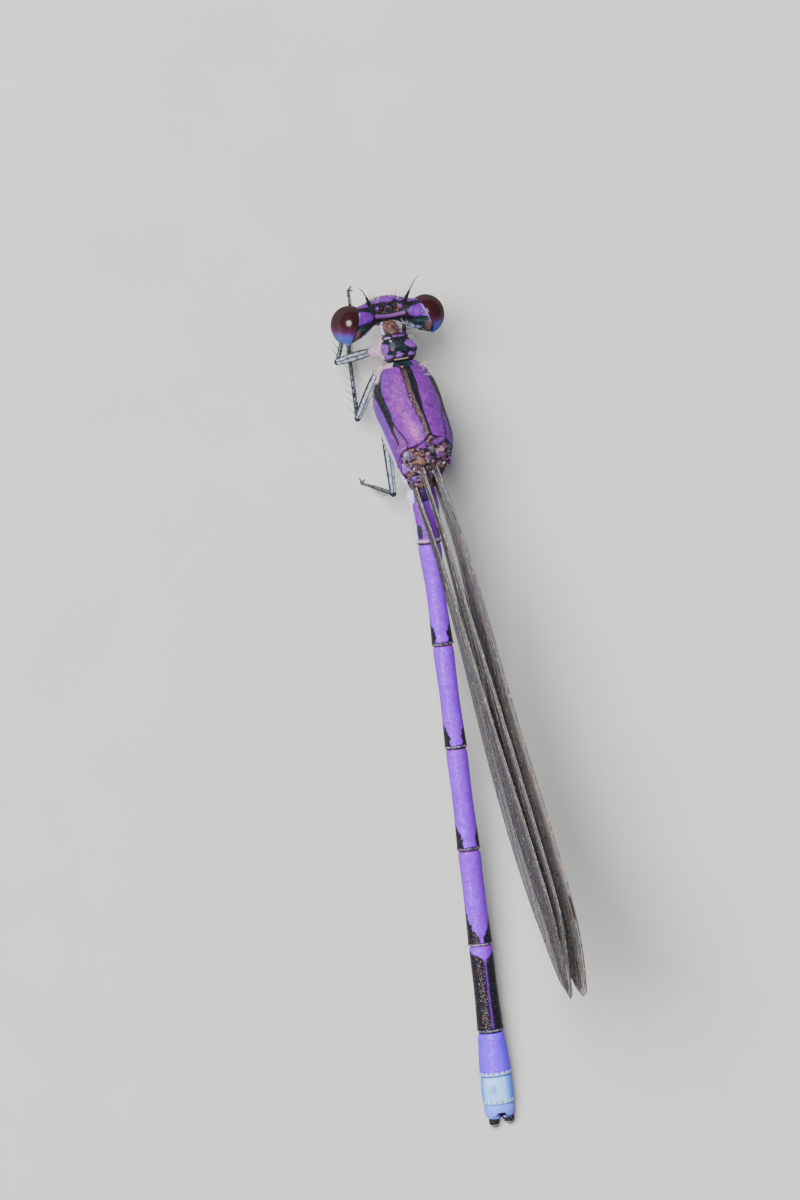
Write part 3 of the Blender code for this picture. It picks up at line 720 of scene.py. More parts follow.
RIGHT_FORK = ((-3.0, -2.72, -2.45, -2.18, -1.9), (46, 38.5, 35.5, 31.5, 28))
WHITE_EDGE = (
    (-4.6, -3.6, -3.07, -2.72, -2.37, -1.98, -1.7, -1.2, -0.4),
    (134, 112, 98, 86, 80, 77, 73, 64, 58),
)
# angle of a painted highlight along the left field, against place along the body
HIGHLIGHT_LINE = ((-4.6, -3.2, -2.4, -1.85), (31, 33, 25, 17))
# place, turn, half length, half width in mm and tilt of each lobe behind the crest
CRESCENTS = ((-1.665, 10.0, 0.145, 0.235, 0.5), (-1.715, -13.0, 0.125, 0.285, -0.16))
CREST_LEFT = (
    (0, 3, 7, 14, 24, 34, 42, 50, 60),
    (-2.04, -1.93, -1.80, -1.67, -1.61, -1.56, -1.46, -1.25, -1.0),
)
CREST_RIGHT = ((0, 3, 8, 17, 26, 35, 50, 70), (-2.04, -1.98, -1.9, -1.83, -1.71, -1.57, -1.4, -1.2))


# %% Spots, sides and the crest
def spot(y, angle, middle, radii, soft=0.25):
    """An oval spot on a surface measured by place and angle."""
    distance = np.hypot((y - middle[0]) / radii[0], (angle - middle[1]) / radii[1])
    return before(distance, 1.0, soft)


def two_sided(angle, place, left, right):
    """Reads one curve on the left side and another on the right."""
    return np.where(angle > 0, through(*left, place), through(*right, place))


def crest_place(angle):
    """The line of two scallops where the fields of the back end in front of the wings."""
    return two_sided(angle, np.abs(angle), CREST_LEFT, CREST_RIGHT)


def crescents(y, angle):
    """1 on the two smooth lobes that lie right behind the crest."""
    found = np.zeros(np.broadcast(y, angle).shape)
    for middle, turn, half_length, half_width, tilt in CRESCENTS:
        along_it, beside = y - middle, (angle - turn) * 0.03
        wide = beside * math.cos(tilt) - along_it * math.sin(tilt)
        high = beside * math.sin(tilt) + along_it * math.cos(tilt)
        found = np.maximum(found, before(np.hypot(wide / half_width, high / half_length), 1.0, 0.3))
    return found


def wing_floor(y, angle):
    """1 on the sunken floor between the crest and the abdomen."""
    reach = through((-1.6, -1.2, -0.9, -0.5, -0.2), (42, 45, 50, 55, 60), y)
    reach = np.where(angle > 0, reach, 68)
    return step(y, crest_place(angle), 0.05) * before(np.abs(angle), reach, 3)


# %% Paint the thorax
def thorax_paint(points, y, angle):
    m, crest = np.abs(angle), crest_place(angle)
    blotch = mottle(points, 0.22, 11)
    fine = mottle(points, 0.08, 12)
    coat = Coats(toned(MAUVE, 0.1 * blotch + 0.08 * fine))
    coat(PINK_MAUVE, 0.5 * step(blotch + 0.5 * fine, 0.5, 0.9))
    # painted highlight: a lighter pinkish line along the left field, strongest towards the rear, where more
    # flakes are painted as glints
    painted_highlight = np.exp(-(((angle - through(*HIGHLIGHT_LINE, y)) / 8) ** 2)) * band(y, -4.5, -1.75, 0.3)
    late = step(y, -2.7, 1.3)
    coat(PINK_MAUVE * (1.5, 1.7, 1.1), painted_highlight * (0.2 + 0.5 * late))
    painted_glints = 0.07 + painted_highlight * (0.24 + 0.56 * late)
    coat(BLUE_MAUVE, 0.85 * step(angle, 66, 16) + 0.35 * step(-angle, 34, 20))
    white = step(m - through(*WHITE_EDGE, y), 0, 7)
    coat(PALE, white * 0.9)
    coat(GREY_BLUE, 0.5 * band(m, 124, 129, 4) * step(y, -4.2, 0.3))
    coat(PINKISH, 0.6 * step(m, 150, 30))
    # the pale front corner beside the collar, and the grey streak above the stripe
    coat(CREAM * (0.8, 0.8, 1.1), before(y, -4.77, 0.07) * band(angle, 44, 100, 8) * 0.9)
    streak = through((-4.75, -4.4, -4.15), (84, 77, 76), y)
    coat(PINKISH * 1.3, step(m, streak + 5, 6) * before(y, -4.2, 0.16) * (angle > 0) * 0.9)
    coat(GREY_BLUE * 0.35, band(m, streak - 6, streak + 5, 3) * band(y, -4.74, -4.2, 0.1))
    # the black stripe of each shoulder, and the fork in which it ends
    shoulder = two_sided(angle, y, SHOULDER, RIGHT_SHOULDER)
    half = two_sided(angle, y, SHOULDER_HALF, RIGHT_SHOULDER_HALF) * (1 + 0.04 * mottle(points, 0.15, 13))
    ends = step(y, -4.26, 0.14) * before(y, -1.8, 0.08)
    stripe = band(m, shoulder - half, shoulder + half, 2.0) * ends
    fork_line = two_sided(angle, y, FORK, RIGHT_FORK)
    fork = band(m, fork_line - 1.5, fork_line + 1.5, 1.4) * step(y, -2.95, 0.2)
    fork = fork * before(y, crest, 0.05)
    between_forks = band(angle, fork_line, shoulder, 3) * band(y, -2.75, -1.5, 0.2)
    coat(TAN, between_forks * 0.25)
    # glint flakes painted between the forks
    painted_glints += 0.2 * between_forks
    coat(BLACK, np.maximum(stripe, fork * 0.92))
    # painted teal sheen in flecks on the shoulder stripes
    coat(TEAL_SHEEN, stripe * step(mottle(points, 0.06, 17), 1.3, 0.5) * 0.9)
    # the keel: a black band whose left half, where the light falls, is painted brown with glint flakes, and a
    # painted grey-blue highlight along the ridge between
    left, right, ridge = through(*KEEL_LEFT, y), through(*KEEL_RIGHT, y), through(*RIDGE, y)
    before_wings = before(y, crest, 0.06)
    coat(BLACK, band(angle, right, left, 1.6) * before_wings)
    lit_keel = band(angle, ridge + 0.8, left - 2.0, 1.5) * before_wings * step(y, -4.64, 0.2)
    coat(LIT_KEEL_BROWN, lit_keel * (0.75 + 0.25 * np.clip(fine, -1, 1)))
    painted_glints += 0.62 * lit_keel * step(y, -3.9, 1.2)
    # painted highlight along the ridge
    coat(GREY_BLUE, 0.4 * bump(angle, ridge, 0.8) * before_wings * step(y, -4.6, 0.2))
    collar = before(y, -4.68 - 0.0022 * np.abs(angle - 5), 0.05) * before(np.abs(angle - 10), 34, 6)
    coat(BLACK, collar)
    # painted teal sheen in flecks on the black collar
    coat(TEAL_SHEEN, collar * step(fine, 0.4, 0.8) * 0.8)
    coat(TAN * (2.2, 1.5, 1.4), spot(y, angle, (-4.73, 15), (0.035, 3.0)))
    # the wing bases: leathery brown skin, edged by the black crest
    rough = mottle(points, 0.16, 15)
    leather = Coats(toned(UMBER * (0.9, 0.95, 1.2), 0.5 * np.clip(fine, -1, 1)))
    leather(PINKISH * 0.3 + TAN * 0.35, step(rough, 0.5, 0.8))
    leather(MAUVE * 0.7, step(mottle(points, 0.22, 16), 0.9, 0.6) * 0.8)
    leather(BLACK * 1.5, step(-rough, 0.2, 0.6))
    behind = wing_floor(y, angle)
    coat(leather.colours, behind)
    # glint flakes painted on the wing floor
    painted_glints = painted_glints * (1 - behind) + 0.22 * behind
    rim = bump(y, crest, 0.045) * before(m, 66, 4)
    rim = np.maximum(rim, 4 * behind * (1 - behind) * step(y, crest + 0.05, 0.05))
    coat(BLACK, np.clip(rim, 0, 1))
    lobes = crescents(y, angle)
    coat(BLACK, np.clip(lobes * 3, 0, 1))
    coat(toned(MAUVE, 0.12 * blotch), step(lobes, 0.72, 0.4))
    return with_painted_glints(coat.colours, painted_glints * (1 - np.clip(stripe + collar, 0, 1)))


# %% Shape and skin the thorax
def thorax_relief(y, angle):
    m = np.abs(angle)
    edge = crest_place(angle)
    ridge = through(*RIDGE, y)
    keel = 0.06 * bump(angle, ridge, 2.6) * band(y, -4.7, -2.02, 0.12)
    groove = -0.03 * bump(m, two_sided(angle, y, SHOULDER, RIGHT_SHOULDER), 2.6) * band(y, -4.3, -1.8, 0.2)
    fork = -0.018 * bump(m, two_sided(angle, y, FORK, RIGHT_FORK), 1.6) * band(y, -2.8, -1.7, 0.2)
    side_seam = -0.03 * bump(m, 101, 2.2) * band(y, -4.3, -0.9, 0.3)
    low_seam = -0.03 * bump(m, 126, 2.2) * band(y, -4.3, -0.6, 0.3)
    crest = 0.035 * bump(y, edge - 0.07, 0.07) * before(m, 50, 10)
    sunken = wing_floor(y, angle)
    places = np.stack([y, angle * 0.018, np.zeros_like(y)], -1)
    lumps = mottle(places, 0.13, 18).reshape(y.shape)
    trough = sunken * (-0.05 + 0.026 * lumps) * before(y, -0.25, 0.3)
    collar = -0.03 * bump(y, -4.72, 0.035)
    lobes = 0.1 * crescents(y, angle)
    return keel + groove + fork + side_seam + low_seam + crest + trough + collar + lobes


thorax_point = partial(trunk_surface, THORAX_RINGS, thorax_relief)
THORAX_SPAN, THORAX_MAP = (-4.98, 0.02), (0.2, 0.42)
thorax_shell = body_shell(thorax_point, thorax_paint, THORAX_SPAN, 196, 168, THORAX_MAP)


# %% Paint the neck and the prothorax
# corners of the violet lobes: angle from the top, place along the body
LOBES = (
    ((60, -5.70), (43, -5.67), (33, -5.55), (33, -5.43), (48, -5.28), (63, -5.29), (60, -5.50)),
    ((-15, -5.66), (-33, -5.75), (-52, -5.68), (-53, -5.42), (-30, -5.38), (-18, -5.45), (-12, -5.56)),
    ((72, -5.20), (46, -5.22), (30, -5.20), (38, -5.09), (72, -5.06)),
    ((18, -5.27), (9, -5.33), (-2, -5.20), (6, -5.09), (22, -5.12)),
    ((-17, -5.22), (-25, -5.27), (-48, -5.23), (-48, -5.13), (-26, -5.11), (-17, -5.15)),
    ((14, -5.97), (-34, -5.97), (-34, -5.88), (12, -5.90)),
)
DEGREE = 0.013  # mm around the prothorax for each degree


def prothorax_paint(points, y, angle):
    fine = mottle(points, 0.07, 21)
    blotch = mottle(points, 0.12, 22)
    turned = (angle + 2.0 * blotch) * DEGREE
    wavy = y + 0.01 * fine
    coat = Coats(toned(BLACK * 1.3, 0.3 * np.clip(fine, -1, 1)))
    # painted teal sheen in flecks on the black
    coat(TEAL_SHEEN, step(fine, 1.0, 0.8) * 0.6)
    coat(GREY_BLUE * (0.35, 0.5, 0.4), spot(wavy, angle, (-5.58, 22), (0.14, 8), 0.8) * 0.8)
    violet = toned(MAUVE + PALE * 0.05, 0.14 * blotch)
    left, right = step(angle, 67, 4), step(-angle, 60, 5)
    flank = np.maximum(left, right) * before(y, -5.1, 0.06)
    coat(toned(PINKISH * 1.15, 0.12 * blotch), flank)
    for corners in LOBES:
        coat(violet, inside(turned, wavy, np.array(corners) * (DEGREE, 1.0), 0.035))
    pale_left = band(angle, 58, 65, 3) * band(y, -5.7, -5.27, 0.05)
    coat(PALE * (1.0, 0.8, 0.9), pale_left * 0.75)
    coat(PALE, band(angle, -58, -46, 6) * band(y, -5.74, -5.45, 0.06) * 0.6)
    coat(CREAM, spot(y, angle, (-5.27, 58), (0.025, 10), 0.6) * 0.6)
    coat(PALE * (0.9, 0.7, 0.8), spot(wavy, angle, (-5.885, 38), (0.04, 15), 0.4) * 0.5)
    coat(CREAM * (0.8, 1.1, 1.2), spot(wavy, angle, (-5.765, 26), (0.03, 4.5), 0.5) * 0.9)
    coat(UMBER * 2.2, spot(wavy, angle, (-5.42, 24), (0.06, 4), 0.6) * 0.9)
    coat(BLACK, (bump(angle, 67.5, 1.3) + bump(angle, -58, 1.6)) * band(y, -5.84, -5.1, 0.05))
    coat(CREAM * 0.8, band(y, -5.06, -5.015, 0.025) * band(angle, -20, 36, 8) * 0.9)
    coat(BLACK, step(y, -5.0, 0.03))
    neck = before(y, -5.995, 0.04)
    skin = Coats(toned(UMBER * (1.0, 1.05, 1.15), 0.45 * np.clip(blotch + 0.6 * fine, -1.6, 1.6)))
    skin(TAN * 1.4, spot(y, angle, (-6.06, 12), (0.05, 8), 0.6) * 0.8)
    side = np.maximum(step(angle, 58 + 5 * blotch, 8), step(-angle, 40 + 5 * blotch, 8))
    skin(PALE * (1.0, 0.85, 0.85), side * 0.85)
    skin(BLACK, bump(y, -6.02, 0.03))
    coat(skin.colours, neck)
    return with_painted_glints(coat.colours, 0.06)


# %% Shape and skin the prothorax
def prothorax_relief(y, angle):
    """The lobes swell a little out of the dark furrows between them."""
    swell = sum(inside(angle * DEGREE, y, np.array(corners) * (DEGREE, 1.0), 0.1) for corners in LOBES)
    rims = -0.03 * (bump(y, -5.8, 0.035) + bump(y, -5.25, 0.02))
    seam = -0.03 * bump(np.abs(angle), 67, 3) * band(y, -5.85, -5.1, 0.1)
    folds = 0.006 * np.sin(y * 70) * before(y, -6.02, 0.04)
    return 0.045 * swell + rims + seam + folds


prothorax_point = partial(trunk_surface, PROTHORAX_RINGS, prothorax_relief)
PROTHORAX_SPAN, PROTHORAX_MAP = (-6.62, -4.88), (0.14, 0.2)
prothorax_shell = body_shell(prothorax_point, prothorax_paint, PROTHORAX_SPAN, 100, 120, PROTHORAX_MAP)


# %% [markdown]
# ## The abdomen
#
# Ten rings make the long tail, each a stiff tube that slides a little into the next.  One skin
# runs over all of them, drawn in at every joint and swollen just before it; ten separate tubes
# would need ten maps and look the same.  The colours follow a rule along each ring: violet in
# front, black at its hind end and up its sides, more black from ring to ring, and then the blue
# lantern of the last three.

# %% Its measurements
ABDOMEN_SLOPE = 0.088
ABDOMEN_BEND = 0.00172
# ring, start, half width in front, in the middle and behind, half depth likewise
SEGMENTS = (
    (1, -0.08, (0.55, 0.60, 0.60), (0.58, 0.62, 0.62)),
    (2, 0.38, (0.60, 0.49, 0.46), (0.62, 0.58, 0.50)),
    (3, 2.06, (0.45, 0.36, 0.41), (0.48, 0.37, 0.41)),
    (4, 5.97, (0.40, 0.37, 0.42), (0.41, 0.37, 0.41)),
    (5, 9.92, (0.41, 0.39, 0.44), (0.41, 0.38, 0.42)),
    (6, 13.84, (0.43, 0.42, 0.46), (0.42, 0.39, 0.44)),
    (7, 17.51, (0.45, 0.45, 0.50), (0.44, 0.42, 0.48)),
    (8, 20.83, (0.49, 0.56, 0.61), (0.49, 0.53, 0.56)),
    (9, 22.51, (0.59, 0.61, 0.60), (0.55, 0.54, 0.52)),
    (10, 23.61, (0.59, 0.58, 0.50), (0.50, 0.46, 0.38)),
)
NOTCH_TURN, NOTCH_DEPTH = 4.0, 0.26  # the last ring is notched in the middle of its hind edge
ABDOMEN_SPAN, ABDOMEN_MAP = (-0.08, 24.17), (0.42, 1.0)
FLOOR_GAP = 0.03
JOINTS = np.array([segment[1] for segment in SEGMENTS] + [ABDOMEN_SPAN[1]])


# %% Surface of the abdomen
def abdomen_place(y):
    """Number of the ring at each place, and how far along that ring it is, from 0 to 1."""
    index = np.clip(np.searchsorted(JOINTS, y, side="right") - 1, 0, len(SEGMENTS) - 1)
    share = (y - JOINTS[index]) / (JOINTS[index + 1] - JOINTS[index])
    return index + 1, np.clip(share, 0.0, 1.0)


def abdomen_axis(y):
    """Height of the middle of the abdomen."""
    return AXIS_HEIGHT - ABDOMEN_SLOPE * y - ABDOMEN_BEND * y * y


def abdomen_point(y, angle):
    """Points on the abdomen at a place along it and an angle from the top, in degrees."""
    y, angle = np.broadcast_arrays(np.asarray(y, float), np.asarray(angle, float))
    ring, share = abdomen_place(y)
    half_width, half_depth = np.zeros(y.shape), np.zeros(y.shape)
    for number, _, widths, depths in SEGMENTS:
        here = ring == number
        half_width[here] = through((0.0, 0.5, 1.0), widths, share[here])
        half_depth[here] = through((0.0, 0.5, 1.0), depths, share[here])
    sideways, upwards = rounded(np.radians(angle), 2.15)
    nearest = np.min(np.abs(y[..., None] - JOINTS[1:-1]), axis=-1)
    dip = -0.05 * bump(nearest, 0.0, 0.035) - 0.022 * bump(y - JOINTS[ring - 1], 0.06, 0.09)
    relief = (dip + 0.016 * bump(JOINTS[ring] - y, 0.09, 0.06)) * np.where(ring > 1, 1.0, 0.3)
    low_seam = -0.03 * bump(np.abs(angle), 128, 4) * band(y, 0.5, 22.6, 0.3)
    closing = np.sqrt(np.clip(1 - ((y - 24.03) / 0.16).clip(0, 0.97) ** 2, 0.0, 1.0))
    slope = np.arctan(ABDOMEN_SLOPE + 2 * ABDOMEN_BEND * y)
    rise = (half_depth * closing + relief + low_seam) * upwards
    x = (half_width * closing + relief + low_seam) * sideways
    z = np.maximum(abdomen_axis(y) + rise * np.cos(slope), FLOOR_GAP)
    notch = NOTCH_DEPTH * bump(angle, NOTCH_TURN, 20) * step(y, 24.02, 0.24)
    return np.stack([x, y + rise * np.sin(slope) - notch, z], -1)


print("rings of the abdomen end at", JOINTS[1:].tolist())


# %% Where the black begins
# degrees to the left of the top where the middle of each ring's marks lies
MARK_TURNS = np.array((5, 5, 5, 17, 10, 8, 5, 2, 5, 5, 5), float)
# a painted highlight, lighter colour and more glint flakes along a streak, lies further to the left
HIGHLIGHT_STREAK_TURN = 32.0  # a streak of bright flakes runs further to the left
# places in a ring and degrees from the top where its black begins; rings 6 and 7 have more of it
NOTCH = ((0.0, 0.71, 0.76, 0.83, 0.88, 0.93, 0.97, 1.0), (120, 114, 70, 38, 31, 36, 30, 14))
NOTCH_SIX = ((0.0, 0.45, 0.62, 0.76, 0.86, 0.9, 1.0), (100, 96, 80, 52, 22, 8, 6))
NOTCH_SEVEN = ((0.0, 0.04, 0.075, 0.1, 0.14, 0.18, 1.0), (112, 98, 60, 30, 9, 2.8, 2.6))
RING_TWO_VIOLET = rgb(0.15, 0.018, 0.3)
RING_EIGHT_BLUE = rgb(0.105, 0.005, 0.92)
JOINT_ROSE = rgb(0.3, 0.05, 0.16)


# %% Paint the second ring
def ring_two(points, y, share, m, colours):
    """Mauve above and white on the flanks, with a broken black line and a dark oval between."""
    fine = mottle(points, 0.06, 35)
    coat = Coats(cover(colours, RING_TWO_VIOLET, np.full(len(m), 0.85)))
    flank_edge = 60 + 16 * share
    coat(PALE * 1.1, step(m, flank_edge, 6) * 0.95)
    broken = 0.5 + 0.5 * np.clip(mottle(points, 0.1, 34) * 1.6 + 0.6, -1, 1)
    coat(BLACK, bump(m, flank_edge - 2, 4.0) * band(share, 0.05, 0.55, 0.08) * broken)
    oval = ((m - 53) / 19) ** 2 + ((share - 0.7) / 0.17) ** 2
    # the dark oval carries a little painted teal sheen
    coat(BLACK * 1.5 + TEAL_SHEEN * 0.3, before(oval, 1.0, 0.5))
    behind = JOINTS[2] - y
    coat(CREAM * (1, 1, 1.2), band(behind, 0.12, 0.2, 0.03) * np.clip(0.7 + 0.5 * fine, 0, 1))
    coat(BLACK, before(behind, 0.1, 0.03))
    return coat.colours


# %% Paint the abdomen
def abdomen_paint(points, y, angle):
    ring, share = abdomen_place(y)
    behind = JOINTS[ring] - y
    ahead = y - JOINTS[ring - 1]
    m = np.abs(angle - MARK_TURNS[ring])
    fine = mottle(points, 0.045, 31)
    blotch = mottle(points, 0.35, 32)
    coat = Coats(toned(VIOLET, 0.08 * fine + 0.06 * blotch))
    # painted shade: deeper violet over the right side, which turns away from the light, and deeper too over
    # the far left flank
    coat(DEEP_VIOLET, 0.7 * step(-angle, 8, 50) + 0.5 * step(angle, 76, 30))
    # painted highlight: along a streak left of the top the colour is lightened and more flakes are painted as
    # glints; glints also along the left flank
    streak = bump(angle, HIGHLIGHT_STREAK_TURN - 14 * step(ring, 7.5, 1), 10)
    painted_glints = 0.1 + streak * (0.75 + 0.12 * blotch) + 0.35 * bump(angle, 92, 8)
    coat(VIOLET * (1.3, 5.0, 1.1), streak * 0.04)
    wobble = 3.0 * mottle(points, 0.12, 33)
    sides = step(m, 102, 12)
    edge = np.where(ring == 7, np.interp(share, *NOTCH_SEVEN), np.interp(share, *NOTCH))
    edge = np.where(ring == 6, np.interp(share, *NOTCH_SIX), edge)
    middle = (ring >= 3) & (ring <= 7)
    black = np.where(middle, np.maximum(step(m + wobble * (edge > 12), edge, 5.0), sides), 0.0)
    coat(DEEP_VIOLET * (0.8, 5.0, 0.5), (ring == 7) * step(share, 0.16, 0.08) * 0.8)
    coat(BLACK, black)
    # glint flakes painted on the black of the sixth ring and those behind it
    painted_glints += (0.38 * band(angle, 8, 50, 14) + 0.05) * black * (ring >= 6)
    # two dark lines with a pale one between close every ring
    coat(BLACK, band(behind, -0.01, 0.17, 0.03) * middle)
    pale_rim = band(behind, 0.07, 0.11, 0.03) * middle * before(m, 100, 20)
    coat(PALE * (0.7, 0.6, 0.6), pale_rim * np.clip(0.55 + 0.5 * fine, 0, 1))
    coat(BLACK, (ring >= 8) * step(m, 108, 14))
    coat(JOINT_ROSE, bump(ahead, 0.04, 0.03) * middle * 0.45)
    # the first two rings, which the wings cover in part
    first = ring == 1
    coat(PALE * 1.1, first * step(m, 46, 14) * 0.9)
    coat(MAUVE * 0.6, first * before(m, 46, 10) * 0.9)
    coat(BLACK, first * before(m, 30, 8) * 0.7)
    coat(ring_two(points, y, share, m, coat.colours), ring == 2)
    # the blue lantern: violet-blue with a painted highlight near the top left, sky blue deepened by painted
    # shade towards its flanks, lilac
    lantern = Coats(toned(RING_EIGHT_BLUE, 0.5 * bump(angle, 18, 30)))
    lantern(SKY + (SKY_IN_PAINTED_SHADE - SKY) * step(np.abs(angle - 22), 46, 36)[:, None], ring == 9)
    lantern(LILAC, ring == 10)
    lantern.colours = toned(lantern.colours, 0.05 * fine + 0.05 * blotch)
    lantern(LILAC * 0.8, spot(y, angle, (23.02, 26), (0.17, 9), 0.7) * 0.6)
    lantern(GREY_BLUE, spot(y, angle, (21.98, 34), (0.09, 7), 0.8) * 0.6)
    above = before(m, 96, 16)
    coat(lantern.colours, (ring >= 8) * above)
    painted_glints *= np.where(ring >= 9, 0.25, 1.0)
    # a fringe of dark points along a pale edge closes the eighth and the ninth ring
    edged = np.isin(ring, (8, 9)) * above
    coat(SKY * (1.3, 1.1, 1.0), band(behind, 0.04, 0.17, 0.03) * edged * 0.8)
    points_row = bump(behind, 0.13, 0.05) * step(np.cos(np.radians(angle) * 18), 0.3, 0.8)
    coat(BLACK, np.clip(points_row + bump(behind, 0.0, 0.035), 0, 1) * edged)
    coat(BLACK * 1.5, step(y, 24.1 - 0.1 * bump(angle, NOTCH_TURN, 12), 0.05))
    coat(BLACK, (ring == 8) * before(ahead, 0.03, 0.03))
    return with_painted_glints(coat.colours, painted_glints)


# %% Skin the abdomen
abdomen_shell = body_shell(abdomen_point, abdomen_paint, ABDOMEN_SPAN, 540, 72, ABDOMEN_MAP)


# %% [markdown]
# ## The head
#
# A damselfly's head is a broad bar with an eye at each end.  It is skinned from side to side: each
# ring is a slice from front to back.  Three lumps, the brow, the upper lip and the jaws, are
# pushed out of it by sending a ray from the middle of the slice to the lump's surface and taking
# the farther of the two, with a soft change between them.  Sculpting would do as well, but slices
# keep both halves alike.

# %% Shape the head
# sideways place, front, back, top, bottom, all from the middle of the line through the eyes
HEAD_SLICES = np.array([
    (0.00, -0.80, 0.06, 0.54, -0.74),
    (0.30, -0.80, 0.08, 0.56, -0.73),
    (0.55, -0.78, 0.16, 0.58, -0.71),
    (0.85, -0.72, 0.37, 0.63, -0.68),
    (1.10, -0.66, 0.52, 0.70, -0.66),
    (1.35, -0.62, 0.62, 0.73, -0.64),
    (1.55, -0.54, 0.67, 0.64, -0.56),
    (1.72, -0.36, 0.50, 0.36, -0.34),
])
HEAD_HALF, HEAD_MAP = 1.72, (0.0, 0.14)
HEAD_LUMPS = (
    ((0.0, -0.54, -0.10), (0.82, 0.40, 0.62)),
    ((0.0, -0.60, -0.60), (0.56, 0.34, 0.38)),
    ((0.0, -0.24, -0.78), (0.50, 0.42, 0.30)),
)
LUMP_BLEND = 0.05
# the violet field beside each eye, by distance from the middle and place from front to back
POSTOCULAR = (
    (0.67, -0.19), (0.80, -0.335), (1.13, -0.42), (1.30, -0.38), (1.48, -0.12),
    (1.60, 0.16), (1.22, 0.07), (0.85, 0.03), (0.72, -0.06),
)


# %% Surface of the head
def head_surface(x, angle):
    """Points on the head; the angle turns from the back (0) over the top (90) to the front (180)."""
    x, angle = np.broadcast_arrays(np.asarray(x, float), np.asarray(angle, float))
    columns = (through(HEAD_SLICES[:, 0], column, np.abs(x)) for column in HEAD_SLICES[:, 1:].T)
    front, back, top, bottom = columns
    upwards, backwards = rounded(np.radians(angle), 2.3)
    middle_y, middle_z = (front + back) / 2, (top + bottom) / 2
    dy = (back - front) / 2 * backwards
    dz = (top - bottom) / 2 * upwards
    reach = np.hypot(dy, dz)
    ray_y, ray_z = dy / reach, dz / reach
    total = np.exp(reach / LUMP_BLEND)
    for (cx, cy, cz), (rx, ry, rz) in HEAD_LUMPS:
        room_left = 1 - ((x - cx) / rx) ** 2
        oy, oz = (middle_y - cy) / ry, (middle_z - cz) / rz
        vy, vz = ray_y / ry, ray_z / rz
        a, b, k = vy**2 + vz**2, oy * vy + oz * vz, oy**2 + oz**2 - room_left
        root = b**2 - a * k
        far = np.where(root > 0, (-b + np.sqrt(np.maximum(root, 0.0))) / a, 0.0)
        total = total + np.exp(np.maximum(far, 0.0) / LUMP_BLEND) - 1
    reach = LUMP_BLEND * np.log(total)
    reach = reach + head_relief(x, middle_y + ray_y * reach, middle_z + ray_z * reach)
    return HEAD + np.stack([x, middle_y + ray_y * reach, middle_z + ray_z * reach], -1)


# %% Furrows of the head
def head_relief(x, y, z):
    """Furrows and swellings of the top, and the lines of the mouth in front."""
    m = np.abs(x - 0.02)
    on_top = step(z, 0.25, 0.2)
    in_front = step(-y, 0.55, 0.2)
    bar = 0.05 * bump(y, -0.11 - 0.12 * m**2, 0.07) * before(m, 0.6, 0.06)
    furrow = -0.04 * bump(y, 0.0 - 0.05 * m**2, 0.04) * before(m, 0.62, 0.1)
    field = -0.045 * bump(m, 0.28, 0.34) * bump(y, -0.42, 0.16)
    lobe = 0.045 * inside(m, y, POSTOCULAR, 0.16)
    tubercle = 0.05 * bump(np.hypot(m - 0.45, y + 0.45), 0.0, 0.075)
    cheek = 0.03 * bump(y, -0.62, 0.07) * band(m, 0.8, 1.15, 0.06)
    groove = -0.035 * bump(y, -0.5, 0.05) * band(m, 0.7, 1.1, 0.1)
    rear_fold = -0.04 * bump(y - 0.13 - 0.2 * (m - 0.7), 0.0, 0.035) * band(m, 0.6, 1.5, 0.1)
    mouth = -0.04 * in_front * (bump(z, -0.42, 0.03) + bump(z, -0.68, 0.03) + bump(z, -0.02, 0.02) * 0.6)
    top = on_top * (bar + furrow + field + lobe + tubercle + cheek + groove + rear_fold)
    return top + mouth * before(m, 0.8, 0.1)


print("the head is", 2 * HEAD_HALF, "mm wide without the eyes' outer parts")


# %% Paint the head
OCELLI = ((0.04, -0.6), (0.31, -0.43), (-0.22, -0.43))


